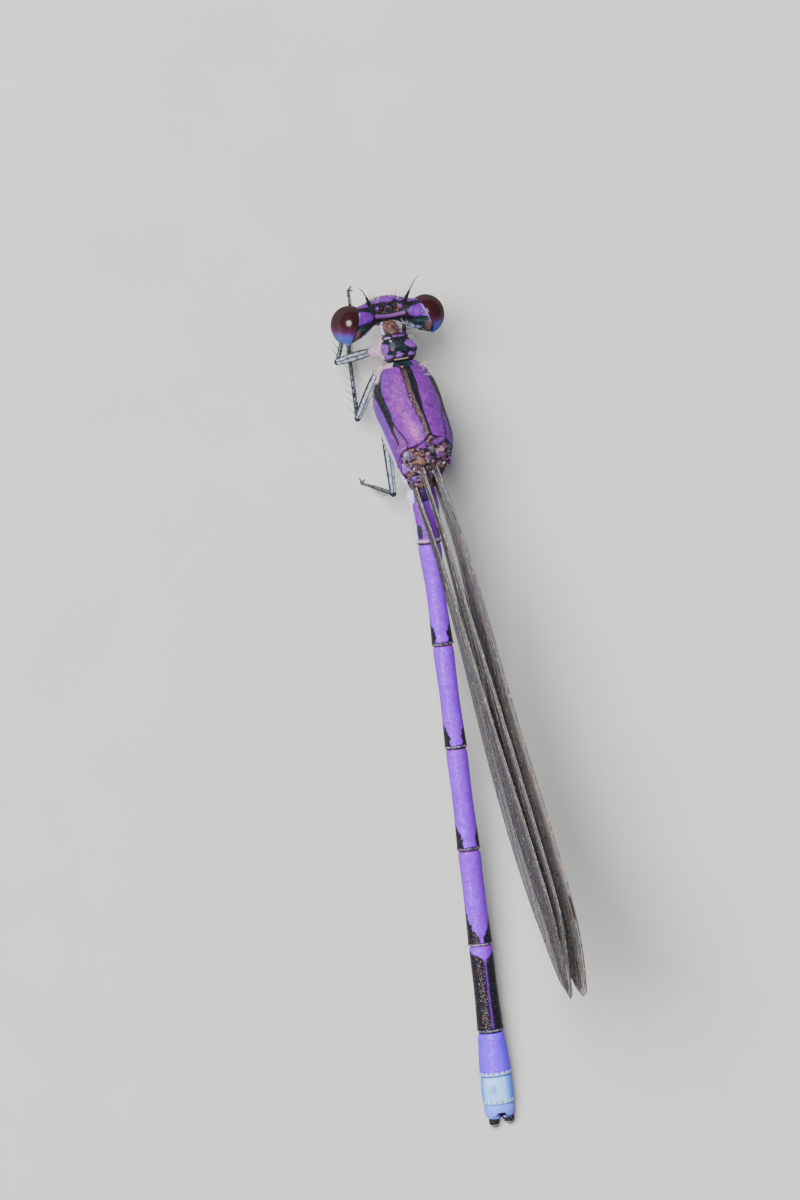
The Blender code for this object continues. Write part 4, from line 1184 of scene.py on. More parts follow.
def head_paint(points):
    x, y, z = (points - HEAD).T
    m = np.abs(x - 0.02)
    fine = mottle(points, 0.06, 41)
    blotch = mottle(points, 0.14, 42)
    violet = toned(HEAD_VIOLET * (1.25, 2.0, 1.05), 0.18 * blotch + 0.12 * fine)
    coat = Coats(violet)
    # share of flakes painted as glints
    painted_glints = np.full(len(x), 0.05)
    top = step(z, 0.1, 0.16)
    # the top is black; the brow, the bar, two tubercles, the cheeks and the fields are laid on it
    brow_edge = -0.655 + 0.03 * blotch + 0.02 * np.cos(x * 9)
    # glint flakes painted along the brow
    painted_glints += 0.1 * before(y, brow_edge, 0.04)
    coat(BLACK, top * step(y, brow_edge, 0.04))
    vertex = band(y, -0.64, -0.24, 0.05) * before(m, 0.56, 0.08) * top
    coat(UMBER * 0.9, vertex * step(blotch, 0.9, 0.6))
    # and glint flakes painted on the crown
    painted_glints += 0.12 * vertex
    coat(violet * 0.9, spot(y, m, (-0.45, 0.46), (0.075, 0.075), 0.5))
    coat(violet * 0.6, spot(y, x, (-0.5, 0.07), (0.05, 0.06), 0.7) * 0.7)
    bar_middle = -0.11 - 0.12 * m**2
    bar = band(y, bar_middle - 0.08, bar_middle + 0.07, 0.03) * before(m, 0.6, 0.04) * top
    coat(toned(HEAD_VIOLET * (1.3, 4.5, 0.85), 0.12 * fine), bar)
    coat(PINK_MAUVE * (0.8, 1.2, 0.6), bar * step(y, bar_middle + 0.02, 0.04) * 0.6)
    field = inside(m, y + 0.01 * fine, POSTOCULAR, 0.03) * step(z, 0.05, 0.2)
    coat(toned(HEAD_VIOLET, 0.12 * blotch), field)
    # painted highlight: many glint flakes on the field beside the right eye
    highlight_by_right_eye = spot(y, x, (-0.12, -1.3), (0.26, 0.14), 0.8)
    painted_glints += 0.9 * field * highlight_by_right_eye
    cheek = band(y, -0.69, -0.565, 0.04) * band(m, 0.8, 1.22, 0.05) * step(z, 0.0, 0.2)
    coat(violet, cheek)
    coat(BLACK, spot(y, m, (-0.7, 0.72), (0.14, 0.1), 0.4) * top)
    # the back of the head: black with a painted teal sheen, brown beside the eyes, pale at the very edge
    rear_edge = np.interp(m, HEAD_SLICES[:, 0], HEAD_SLICES[:, 2])
    rear = step(y - 0.075 - 0.05 * m, 0.0, 0.05) * step(m, 0.55, 0.1) * (1 - field)
    coat(BLACK * 1.5, rear)
    coat(TEAL_SHEEN, rear * step(mottle(points, 0.12, 43), 0.2, 1.0) * 0.8)
    coat(UMBER * 1.6, rear * spot(y, m, (0.45, 1.44), (0.22, 0.12), 0.8) * 0.9)
    rim = step(y, rear_edge - 0.08, 0.06) * band(m, 0.58, 1.12, 0.12) * step(z, -0.3, 0.3)
    coat(PALE * (0.8, 1.0, 1.1), rim * np.clip(0.55 + 0.5 * blotch, 0, 1))
    eye_line = bump(m - 1.385 - 0.42 * y, 0.0, 0.022) * step(z, 0.1, 0.2) * band(y, -0.4, 0.5, 0.1)
    coat(PALE * (0.4, 0.35, 0.7), eye_line * 0.8)
    # the face: violet brow, darker seams, pale jaws and underside
    face = step(-y, 0.45, 0.1) * (1 - top)
    seams = bump(z, -0.42, 0.028) + bump(z, -0.68, 0.026) + bump(z, -0.02, 0.02) * 0.6
    coat(BLACK * 2, np.clip(seams, 0, 1) * face * before(m, 0.75, 0.1))
    under = before(z, -0.7, 0.14)
    coat(PINKISH, under * (1 - face) * 0.85)
    return with_painted_glints(coat.colours, painted_glints * (1 - rear))


# %% Skin the head
HEAD_ROWS, HEAD_SIDES = 112, 116
slices, turns = np.linspace(-HEAD_HALF, HEAD_HALF, HEAD_ROWS), 360.0 * np.arange(HEAD_SIDES) / HEAD_SIDES
head_rings = head_surface(*np.meshgrid(slices, turns, indexing="ij"))
head_shell = skin_over(head_rings, head_paint(head_rings.reshape(-1, 3)), HEAD_MAP)


# %% One skin for the whole body
FLESH = ("head", "prothorax", "thorax", "abdomen_1_2", *(f"abdomen_{n}" for n in range(3, 9)), "abdomen_9_10")
body_shells = [head_shell, prothorax_shell, thorax_shell, abdomen_shell]
settle_piece(make_piece("body_skin", body_shells, body_finish), "abdomen_violet", *FLESH)


# %% [markdown]
# ## The eyes
#
# Each compound eye is most of a ball, flattened where it meets the head along a slanted rim.  It
# is maroon on top and turns through violet to blue towards the back and below.  The lenses are
# too many to model, so they are a fine relief under one glossy coat, which is what a real eye
# shows at this size.

# %% Make the eyes
EYE_CENTRE = 1.53
EYE_RADII = np.array([0.7, 0.755, 0.85])
RIM_PLACE, RIM_SLANT = 1.4, 0.42
MAROON = rgb(0.021, 0.0045, 0.006)
ROSE_BROWN = rgb(0.048, 0.011, 0.028)
EYE_VIOLET = rgb(0.07, 0.026, 0.19)
EYE_BLUE = rgb(0.04, 0.07, 0.33)


def make_eye(side, word):
    polar, turn = ball_grid(72, 112, 0.02)
    ball = np.stack([np.cos(polar), np.sin(polar) * np.cos(turn), np.sin(polar) * np.sin(turn)], -1)
    local = ball * EYE_RADII
    rim = RIM_PLACE - EYE_CENTRE + RIM_SLANT * local[..., 1]
    local[..., 0] = np.maximum(local[..., 0], rim)
    flat = local.reshape(-1, 3)
    normal = ball.reshape(-1, 3)
    behind = 0.9 * normal[:, 1] - 0.22 * normal[:, 2] + 0.1 * normal[:, 0]
    below = 0.05 - 0.75 * normal[:, 2]
    back = np.maximum(behind, below) + 0.03 * mottle(flat, 0.3, 51)
    coat = Coats(np.tile(MAROON, (len(flat), 1)))
    coat(ROSE_BROWN, step(back, 0.0, 0.34))
    coat(EYE_VIOLET, step(back, 0.27, 0.2))
    coat(EYE_BLUE, step(back, 0.46, 0.22))
    coat(PALE * (0.7, 0.9, 1.0), step(back, 0.84, 0.12) * 0.5)
    places = HEAD + (local + (EYE_CENTRE, 0.0, 0.0)) * (side, 1.0, 1.0)
    piece = make_piece(f"eye_{word}_globe", [skin_over(places, coat.colours)], lens_finish)
    settle_piece(piece, "eyes", f"eye_{word}")


for side, word in ((1, "left"), (-1, "right")):
    make_eye(side, word)


# %% Three ocelli on the crown
def dome(centre, radii, rows=12, sides=20):
    """Rings of an ellipsoid."""
    polar, turn = ball_grid(rows, sides)
    ball = np.stack([np.sin(polar) * np.cos(turn), np.sin(polar) * np.sin(turn), np.cos(polar)], -1)
    return ball * radii + centre


def crown_height(x, y):
    """Height of the head's top over a place, found on a fine slice."""
    slice_points = head_surface(x, np.linspace(20.0, 160.0, 281)) - HEAD
    return float(np.interp(-y, -slice_points[::-1, 1][::-1], slice_points[::-1, 2][::-1]))


ocelli = []
for x, y in OCELLI:
    rings = dome(HEAD + (x, y, crown_height(x, y) - 0.01), (0.08, 0.08, 0.085))
    ocelli.append(plain_shell(rings, rgb(0.012, 0.007, 0.008)))
settle_piece(make_piece("ocelli", ocelli, lens_finish), "eyes")


# %% Feelers
FEELER_TIPS = {"left": (1.22, -1.36, 0.82), "right": (1.26, -1.48, 0.86)}


def make_feeler(side, word):
    """Two stout joints and a bristle-thin lash."""
    base = np.array((0.74, -0.7, 0.36))
    tip = np.array(FEELER_TIPS[word])
    first, second = base + (0.05, -0.1, 0.1), base + (0.12, -0.25, 0.2)
    middle = (second + tip) / 2 + (-0.03, -0.03, 0.04)
    parts = (
        ((base, first), (0.065, 0.075, 0.06)),
        ((first, second), (0.04, 0.056, 0.05, 0.038)),
        ((second, (second + middle) / 2, middle, tip), (0.026, 0.022, 0.016, 0.009)),
    )
    shells = []
    for path, radii in parts:
        rings = tube(HEAD + np.array(path) * (side, 1, 1), radii, 12, 24)
        shells.append(plain_shell(rings, BLACK * 1.4))
    settle_piece(make_piece(f"feeler_{word}", shells, leg_finish), "horn", f"antenna_{word}")


for side, word in ((1, "left"), (-1, "right")):
    make_feeler(side, word)


# %% [markdown]
# ## The wing bases
#
# Between the crest and the wings lies a mosaic of small hard plates that work the wings.  They are
# low shields of violet, grey-blue, tan and white on brown leathery skin, each with its own uneven
# outline, set on the surface of the thorax and turned with it.  One function makes them from a
# table, which is easier to correct than plates modelled one by one.  Small fillers from a fixed
# seed lie between them.  The two smooth lobes right behind the crest belong to the skin itself.

# %% Table of the plates
# place along the body, angle from the top, half length, half width, height, colour, twist
PLATES = (
    (-1.38, 31, 0.19, 0.2, 0.1, GREY_BLUE * 1.1 + MAUVE * 0.35, 0.2),
    (-0.93, 38, 0.25, 0.185, 0.12, MAUVE * 1.15 + PALE * 0.1, 0.1),
    (-1.54, 24, 0.06, 0.1, 0.06, TAN * 1.1, 0.6),
    (-1.3, 14, 0.19, 0.21, 0.06, TAN * (1.1, 1.0, 1.0), 0.3),
    (-1.07, 8, 0.15, 0.19, 0.075, TAN * (1.4, 1.2, 0.9), -0.4),
    (-1.1, 19, 0.12, 0.11, 0.07, TAN * 1.2, 0.5),
    (-1.31, 19, 0.04, 0.04, 0.09, CREAM * 1.2, 0.0),
    (-1.47, -2.5, 0.095, 0.095, 0.085, GREY_BLUE * (0.45, 0.6, 0.4), 0.0),
    (-1.42, -15, 0.15, 0.19, 0.06, PINKISH * (0.5, 0.45, 0.45), -0.2),
    (-1.38, -21, 0.1, 0.11, 0.07, PINKISH * (0.4, 0.3, 0.4), 0.5),
    (-1.2, -16, 0.09, 0.1, 0.075, MAUVE * 1.4, 0.0),
    (-1.2, -25, 0.12, 0.08, 0.06, TAN * (0.8, 0.7, 0.8), 0.2),
    (-0.92, -20, 0.13, 0.095, 0.08, TAN * (1.2, 1.2, 0.8), 0.1),
    (-0.74, -22, 0.12, 0.08, 0.08, TAN * (1.0, 1.0, 0.8), -0.2),
    (-0.83, -5, 0.11, 0.12, 0.06, TAN * (0.5, 0.5, 0.4), 0.4),
    (-1.00, -50, 0.22, 0.17, 0.12, DEEP_VIOLET * 0.8, 0.0),
    (-1.24, -60, 0.21, 0.055, 0.07, PALE * (0.8, 1.0, 1.1), 0.15),
    # this plate is coloured with the painted teal sheen
    (-1.5, -38, 0.15, 0.11, 0.05, TEAL_SHEEN * 1.2, 0.1),
    (-0.5, -46, 0.15, 0.18, 0.14, DEEP_VIOLET * 0.8 + PALE * 0.15, 0.5),
    (-0.88, -33, 0.035, 0.07, 0.09, PALE * (0.8, 0.8, 0.6), 0.2),
    (-0.86, 9, 0.06, 0.045, 0.11, CREAM * 1.4, 0.0),
    (-0.64, 11, 0.14, 0.055, 0.11, PALE * (1.1, 1.0, 1.0), 0.5),
    (-0.6, -11, 0.075, 0.065, 0.1, PALE * (0.5, 1.0, 1.3), 0.3),
    (-0.83, 22, 0.07, 0.08, 0.08, PALE * (0.6, 0.7, 0.7), 0.4),
    (-0.66, 35, 0.12, 0.14, 0.07, TAN * (0.9, 0.7, 0.7), 0.5),
    (-0.44, 24, 0.16, 0.12, 0.08, DEEP_VIOLET * 0.7 + GREY_BLUE * 0.6, 0.3),
    (-0.16, 15, 0.12, 0.13, 0.08, TAN * (1.1, 0.9, 0.9), 0.4),
    (-0.22, 46, 0.095, 0.11, 0.07, TAN * (1.1, 0.8, 0.8), 0.0),
    (-0.54, 60, 0.2, 0.075, 0.07, PALE * 1.1, 0.5),
    (-0.4, 69, 0.15, 0.055, 0.07, PALE * 1.2, 0.6),
)
FILLER_COLOURS = (
    UMBER, TAN * 0.7, BLACK * 3, UMBER * 1.3, MAUVE * 0.8,
    GREY_BLUE * 0.6, BLACK * 2, PINKISH * 0.35, GREY_BLUE,
)
FILLER_STEP, FILLER_TURN = 0.17, 11.0
FILLER_GAPS = 0.38  # share of the places that stay empty
PLATE_SINK = 0.012
OUTLINE_WAVES = ((2, 0.1), (3, 0.09), (4, 0.05), (7, 0.03))


# %% One plate
def surface_axes(surface, y, angle):
    """Around, along and outward directions of a surface at one place."""
    here = surface(y, angle)
    ahead = unit(surface(y + 0.02, angle) - here)
    around_it = unit(surface(y, angle + 1.0) - here)
    outward = unit(np.cross(around_it, ahead))
    middle = np.array([0.0, y, AXIS_HEIGHT])
    outward = outward if np.dot(outward, here - middle) > 0 else -outward
    return here, np.stack([unit(np.cross(ahead, outward)), ahead, outward])


def plate(y, angle, length, width, height, colour, twist, seed, rows=18, sides=28):
    """A low shield with an uneven outline and a dark edge, seated on the thorax."""
    draw = np.random.default_rng(seed)
    here, axes = surface_axes(thorax_point, float(y), float(angle))
    polar, turn = ball_grid(rows, sides)
    outline = 1.0 + sum(size * np.cos(n * turn + draw.uniform(0, 6)) for n, size in OUTLINE_WAVES)
    spread_out = np.sin(polar) ** 0.6 * outline
    flat_top = rounded(polar, 2.5)[1] * (1 + 0.25 * np.sin(polar) * np.cos(2 * turn + seed))
    shield = np.stack([spread_out * np.cos(turn), spread_out * np.sin(turn), flat_top * 0.5], -1)
    shield = shield * (width, length, height)
    c, s = math.cos(twist), math.sin(twist)
    shield = shield @ np.array([[c, s, 0], [-s, c, 0], [0, 0, 1]])
    # the shield follows the roundness of the body
    shield[..., 2] -= 0.3 * (shield[..., 0] ** 2) / 1.2
    rings = here - axes[2] * PLATE_SINK + shield @ axes
    grain = mottle(rings, 0.09, seed)
    shade = toned(colour, 0.35 * np.clip(grain, -1, 1))
    shade = cover(shade, UMBER, step(mottle(rings, 0.13, seed + 9), 0.7, 0.8) * 0.4)
    low = 1 - np.repeat(step(np.cos(polar[:, 0]), 0.1, 0.3), sides)
    return skin_over(rings, with_painted_glints(cover(shade, UMBER * 0.35, low * 0.85), 0.08))


# %% Set the plates
plates = [plate(*measures, 200 + index) for index, measures in enumerate(PLATES)]
draw = np.random.default_rng(77)
for y in np.arange(-1.5, -0.1, FILLER_STEP):
    for angle in np.arange(-62.0, 44.0, FILLER_TURN):
        if y < crest_place(angle) + 0.2 or draw.uniform() < FILLER_GAPS:
            continue
        place = (y + draw.uniform(-0.06, 0.06), angle + draw.uniform(-4, 4))
        size = draw.uniform(0.045, 0.125, 2)
        colour = FILLER_COLOURS[draw.integers(len(FILLER_COLOURS))]
        height, twist, seed = draw.uniform(0.03, 0.07), draw.uniform(0, 3), int(draw.integers(1e6))
        plates.append(plate(*place, *size, height, colour, twist, seed, 10, 16))
settle_piece(make_piece("wing_base_plates", plates, plate_finish), "thorax_shell")


# %% [markdown]
# ## The wings
#
# At rest the four wings stand over the back with their front edges up.  A wing is a film about a
# hundredth of a millimetre thick, pleated along the long veins that carry it.  The plan of the
# veins is a family of curves that leave the stalk together and fan out to the hind margin;
# short cross-veins join each to the next.  The same two numbers, the share of the length and the
# depth below the front edge, place the film, the veins and the dark cell near the tip.  A flat
# picture with holes would be lighter, but only real veins catch the light from every side.

# %% Plan of one wing
WING_RISE = math.radians(13.6)
WING_CHORD = 3.9
WING_OUTLINE = (
    (0.0, 0.06, 0.14, 0.24, 0.36, 0.50, 0.64, 0.76, 0.86, 0.94, 0.98, 1.0),
    (0.13, 0.15, 0.21, 0.42, 0.66, 0.86, 0.98, 1.00, 0.91, 0.68, 0.42, 0.18),
)
# sideways place of the stack's middle, and of each wing beside it, along the length
ALONG_WING = (0.0, 0.13, 0.3, 0.5, 0.7, 0.84, 1.0)
STACK_MIDDLE = (ALONG_WING, (0.137, -0.153, -0.451, -0.732, -1.036, -1.207, -1.304))
FORE_OFFSET = (ALONG_WING, (0.248, 0.326, 0.31, 0.255, 0.272, 0.279, 0.36))
HIND_OFFSET = (ALONG_WING, (0.46, 0.472, 0.438, 0.425, 0.398, 0.399, 0.49))
HIND_LEFT_OFFSET = (ALONG_WING, (0.46, 0.472, 0.438, 0.425, 0.39, 0.35, 0.21))
WINGS = (
    ("fore", "left", 1, 21.2, (-1.35, 1.72), FORE_OFFSET, -0.120),
    ("fore", "right", -1, 21.2, (-1.35, 1.72), FORE_OFFSET, -0.033),
    ("hind", "left", 1, 20.2, (-0.62, 1.05), HIND_LEFT_OFFSET, -0.133),
    ("hind", "right", -1, 20.2, (-0.62, 1.05), HIND_OFFSET, -0.061),
)
# long veins from the front edge to the hind margin: share of the length, depth in mm;
# a depth past the margin ends the vein there
LONG_VEINS = {
    "costa": ((0.0, 0.5, 1.0), (0.0, 0.0, 0.0)),
    "subcosta": ((0.0, 0.15, 0.26, 0.34), (0.09, 0.1, 0.1, 0.0)),
    "radius": ((0.0, 0.15, 0.35, 0.6, 0.84, 0.93, 1.0), (0.17, 0.2, 0.22, 0.24, 0.25, 0.3, 0.4)),
    "fork_1": ((0.25, 0.4, 0.6, 0.8, 0.92, 1.0), (0.26, 0.42, 0.54, 0.66, 0.9, 1.6)),
    "between_1": ((0.58, 0.7, 0.84, 0.95, 1.0), (0.62, 0.82, 1.1, 1.75, 2.8)),
    "fork_2": ((0.42, 0.6, 0.78, 0.93, 1.0), (0.48, 0.92, 1.5, 2.4, 3.4)),
    "between_2": ((0.3, 0.5, 0.7, 0.86, 0.95), (0.46, 1.05, 1.85, 2.9, 3.9)),
    "fork_3": ((0.26, 0.45, 0.62, 0.78, 0.88), (0.44, 1.22, 2.15, 3.3, 4.2)),
    "media": ((0.18, 0.35, 0.5, 0.66, 0.76), (0.34, 1.1, 2.05, 3.3, 4.2)),
    "cubitus": ((0.1, 0.25, 0.4, 0.54, 0.62), (0.34, 0.92, 1.85, 3.0, 3.9)),
}
VEIN_RADII = {"costa": 0.04, "radius": 0.034, "subcosta": 0.024, "fork_1": 0.022}
PLAIN_VEIN, CROSS_VEIN, MARGIN_VEIN = 0.018, 0.009, 0.015
STIGMA = (0.845, 0.885)  # the dark cell
STALK_START = 0.026  # share of the length where the free stalk leaves its root


# %% Surface of a wing
def wing_depth(share):
    """Depth of the wing below its front edge, in mm."""
    return WING_CHORD * through(*WING_OUTLINE, share)


def wing_place(wing, share, depth):
    """Where a spot of the wing's plan stands in the resting animal."""
    side, length, (root_y, root_z), offset, close = wing[2:]
    share, depth = np.broadcast_arrays(np.asarray(share, float), np.asarray(depth, float))
    drop = 0.42 * WING_CHORD * np.maximum(0.0, (share - 0.8) / 0.2) ** 2.6
    below = depth + drop
    fraction = depth / wing_depth(share)
    pleat = 0.045 * np.sin(fraction * math.tau * 3.0 + 0.6) * np.clip(fraction * 6, 0, 1) * (1 - 0.5 * share)
    billow = 0.05 * np.sin(share * 9.0 + length) * fraction
    x = through(*STACK_MIDDLE, share) + side * through(*offset, share) + close * below + pleat + billow
    y = root_y + length * share * math.cos(WING_RISE) + below * math.sin(WING_RISE)
    z = AXIS_HEIGHT + root_z + length * share * math.sin(WING_RISE) - below * math.cos(WING_RISE)
    return np.stack([x, y, z], -1)


print("a wing is", round(float(wing_depth(0.74)), 2), "mm deep at its widest")


# %% The film
FILM_ROWS, FILM_COLUMNS, FILM_HALF = 190, 36, 0.006
FILM_SMOKE = rgb(0.03, 0.028, 0.031)
FILM_AMBER = rgb(0.08, 0.068, 0.063)
# film lightness by side; the right wings, in the shade of the left ones, are painted much lighter, a painted
# light
FILM_TONE_AND_PAINTED_LIGHT = {1: 1.7, -1: 4.4}  # the left wings lie in front of darker ones


def two_faces(sheet, half):
    """Rings around a sheet: down its left face and up its right one."""
    return np.concatenate([sheet + (half, 0, 0), (sheet - (half, 0, 0))[:, ::-1]], axis=1)


def film_shell(wing):
    """A closed sheet: rings that run down one face of the film and up the other."""
    rows, columns = np.linspace(STALK_START, 1.0, FILM_ROWS), np.linspace(0.0, 1.0, FILM_COLUMNS)
    share, fraction = np.meshgrid(rows, columns, indexing="ij")
    depth = fraction * wing_depth(share)
    amber = bump(depth, 0.0, 0.8) * step(share, 0.35, 0.4)
    amber = np.concatenate([amber, amber[:, ::-1]], axis=1).ravel()
    tone = cover(np.tile(FILM_SMOKE, (amber.size, 1)), FILM_AMBER, amber)
    return skin_over(two_faces(wing_place(wing, share, depth), FILM_HALF), tone * FILM_TONE_AND_PAINTED_LIGHT[wing[2]])


for wing in WINGS:
    node = f"wing_{wing[0]}_{wing[1]}"
    settle_piece(make_piece(f"{node}_film", [film_shell(wing)], film_finish), "wing_membrane", node)


# %% [markdown]
# ### Veins with Geometry Nodes
#
# A vein follows a path, so its path is all that is drawn: a row of points with a radius each.  A
# small node tree turns every path into a curve and sweeps a circle along it.  The result is then
# made a plain mesh, because only plain meshes are exported.


# %% A node tree that sweeps paths
def new_tree(name, numbers, finish):
    """An empty node tree with named number inputs, and the two nodes that end it."""
    tree = bpy.data.node_groups.new(name, "GeometryNodeTree")
    tree.interface.new_socket("Geometry", in_out="INPUT", socket_type="NodeSocketGeometry")
    for title, kind, value in numbers:
        tree.interface.new_socket(title, in_out="INPUT", socket_type=kind).default_value = value
    tree.interface.new_socket("Geometry", in_out="OUTPUT", socket_type="NodeSocketGeometry")
    given = tree.nodes.new("NodeGroupInput").outputs
    realize = tree.nodes.new("GeometryNodeRealizeInstances")
    paint = add_node(tree, "GeometryNodeSetMaterial", {"Material": finish})
    add_node(tree, "NodeGroupOutput", {"Geometry": paint.outputs["Geometry"]})
    return tree, given, realize, paint


def read_attribute(tree, name, kind="FLOAT"):
    node = add_node(tree, "GeometryNodeInputNamedAttribute", {"Name": name}, data_type=kind)
    return socket_named(node.outputs, "Attribute")


def sweep_tree(finish):
    """Sweeps a round section along every path of a mesh of edges."""
    tree, given, realize, paint = new_tree("sweep_paths", (("Sides", "NodeSocketInt", 6),), finish)
    paths = add_node(tree, "GeometryNodeMeshToCurve", {"Mesh": given["Geometry"]})
    circle = add_node(tree, "GeometryNodeCurvePrimitiveCircle")
    feed(circle, Radius=1.0, Resolution=given["Sides"])
    sweep = add_node(tree, "GeometryNodeCurveToMesh", {
        "Curve": paths.outputs["Curve"],
        "Profile Curve": circle.outputs["Curve"],
        "Scale": read_attribute(tree, "path_radius"),
        "Fill Caps": True,
    })
    feed(realize, Geometry=sweep.outputs["Mesh"])
    feed(paint, Geometry=realize.outputs["Geometry"])
    return tree


# %% Run a tree over a mesh
def grow(name, source, tree, settings, finish):
    """Runs a node tree over a source mesh and keeps the result as a plain mesh."""
    seedbed = bpy.data.objects.new(name + "_source", source)
    bpy.context.scene.collection.objects.link(seedbed)
    modifier = seedbed.modifiers.new("grow", "NODES")
    modifier.node_group = tree
    inputs = {item.name: item.identifier for item in tree.interface.items_tree if item.in_out == "INPUT"}
    for title, value in settings.items():
        modifier[inputs[title]] = value
    graph = bpy.context.evaluated_depsgraph_get()
    mesh = bpy.data.meshes.new_from_object(seedbed.evaluated_get(graph))
    bpy.data.objects.remove(seedbed, do_unlink=True)
    mesh.name = name
    return new_piece(name, mesh, finish)


sweep_paths = sweep_tree(vein_paint)


# %% Draw the veins
def vein_paths(wing):
    """Every vein of a wing as rows of (share, depth) with a radius for each point."""
    paths = []
    curves = {}
    for title, (shares, depths) in LONG_VEINS.items():
        share = np.linspace(max(shares[0], STALK_START), shares[-1], 120)
        depth = through(shares, depths, share)
        kept = depth <= wing_depth(share) + 1e-6
        last = len(kept) if kept.all() else int(np.argmin(kept)) + 1
        share, depth = share[:last], np.minimum(depth[:last], wing_depth(share[:last]))
        curves[title] = (share, depth)
        thick = VEIN_RADII.get(title, PLAIN_VEIN)
        paths.append((share, depth, thick * (1.15 - 0.55 * share)))
    share = np.linspace(STALK_START, 1.0, 200)
    curves["margin"] = (share, wing_depth(share))
    paths.append((share, wing_depth(share), np.full(200, MARGIN_VEIN)))
    return paths + cross_veins(curves, wing)


# %% Cross-veins
def cross_veins(curves, wing):
    """Short veins from each long vein to the next one below it."""
    length = wing[3]
    draw = np.random.default_rng(int(length * 10) + (wing[2] > 0))
    titles = list(curves)
    found = []
    for here in titles[:-1]:
        spacing = 0.95 if here in ("costa", "radius") else 0.52
        share = max(curves[here][0][0], 0.035) + draw.uniform(0.2, 0.8) * spacing / length
        while share < min(curves[here][0][-1], 0.985):
            top = float(np.interp(share, *curves[here]))
            below = []
            for title in titles:
                places, depths = curves[title]
                if places[0] <= share <= places[-1]:
                    depth = float(np.interp(share, places, depths))
                    if depth > top + 0.04:
                        below.append((depth, title))
            if below and not (STIGMA[0] < share < STIGMA[1] and here == "costa"):
                bottom, title = min(below)
                lower = share - 0.1 * (bottom - top) * draw.uniform(0.2, 1.0) / length
                depth = float(np.interp(lower, *curves[title]))
                shares, depths = np.linspace(share, lower, 5), np.linspace(top, depth, 5)
                found.append((shares, depths, np.full(5, CROSS_VEIN)))
            share += spacing * draw.uniform(0.78, 1.22) / length
    return found


# %% Sweep the veins
def paths_mesh(name, paths):
    """A mesh of edges, one row for each path of (points in mm, radius in mm)."""
    points, edges, radii = [], [], []
    for places, widths in paths:
        first = len(points)
        points += in_frame(places).tolist()
        edges += [(first + i, first + i + 1) for i in range(len(places) - 1)]
        radii += (np.asarray(widths) * MILLIMETRE).tolist()
    mesh = bpy.data.meshes.new(name)
    mesh.from_pydata(points, edges, [])
    mesh.attributes.new("path_radius", "FLOAT", "POINT").data.foreach_set("value", radii)
    return mesh


for wing in WINGS:
    name = f"wing_{wing[0]}_{wing[1]}_veins"
    paths = [(wing_place(wing, share, depth), radius) for share, depth, radius in vein_paths(wing)]
    piece = grow(name, paths_mesh(name, paths), sweep_paths, {"Sides": 6}, vein_paint)
    settle_piece(piece, "horn")


# %% The leathery root of each wing
ROOT_SHARES = (0.014, 0.062)
ROOT_SWELL = ((0.014, 0.018, 0.028, 0.044, 0.062), (0.4, 0.95, 1.0, 0.72, 0.12))
ROOT_TINTS = (UMBER * (1.0, 1.1, 1.4), UMBER * (0.9, 1.2, 1.3), UMBER, UMBER * (0.9, 1.0, 1.2))


def root_shell(wing, tint, seed):
    """A thick tapered sleeve from the thorax to the start of the stalk."""
    share = np.linspace(*ROOT_SHARES, 26)
    turn = np.linspace(0.0, math.tau, 20, endpoint=False)
    swell = through(*ROOT_SWELL, share)
    middle = wing_place(wing, share, 0.5 * wing_depth(share))
    # its lower end dips into the thorax
    middle[:, 2] -= 0.55 * np.clip(1 - (share - ROOT_SHARES[0]) / 0.014, 0, 1) ** 1.4
    ring = np.stack([0.085 * np.cos(turn), np.zeros(20), 0.27 * np.sin(turn)], -1)
    rings = middle[:, None] + ring[None] * swell[:, None, None]
    grain = mottle(rings, 0.1, seed)
    rings = rings + (0.012 * grain[:, None] * np.array([1.0, 0.0, 1.0])).reshape(rings.shape)
    colours = toned(tint, 0.4 * np.clip(grain, -1, 1))
    dark = step(mottle(rings, 0.13, seed + 1), 0.5, 0.5)
    return skin_over(rings, with_painted_glints(cover(colours, BLACK * 2, dark * 0.8), 0.1))


roots = [root_shell(wing, tint, 300 + 2 * index) for index, (wing, tint) in enumerate(zip(WINGS, ROOT_TINTS))]
settle_piece(make_piece("wing_roots", roots, plate_finish), "thorax_shell")


# %% The dark cell near each tip
STIGMA_DEPTH, STIGMA_HALF = 0.25, 0.022
STIGMA_BROWN = rgb(0.05, 0.03, 0.026)


def stigma_shell(wing):
    share, fraction = np.meshgrid(np.linspace(*STIGMA, 16), np.linspace(0.06, 0.94, 10), indexing="ij")
    sheet = wing_place(wing, share - 0.012 * fraction, fraction * STIGMA_DEPTH)
    return plain_shell(two_faces(sheet, STIGMA_HALF), STIGMA_BROWN)


settle_piece(make_piece("wing_dark_cells", [stigma_shell(wing) for wing in WINGS], plate_finish), "horn")


# %% [markdown]
# ## The legs
#
# Six thin legs fold under the front of the body.  Each is a hip, a thigh, a shin and a three-part
# foot with two claws.  The solids had to be thick; here the legs get their real width around the
# same joints.  They are pale with dark stripes, so each tube is painted by the angle around it.
# The Skin modifier could grow them from lines, but it swells at every joint.

# %% Their joints
FOOT_HEIGHT = 0.065
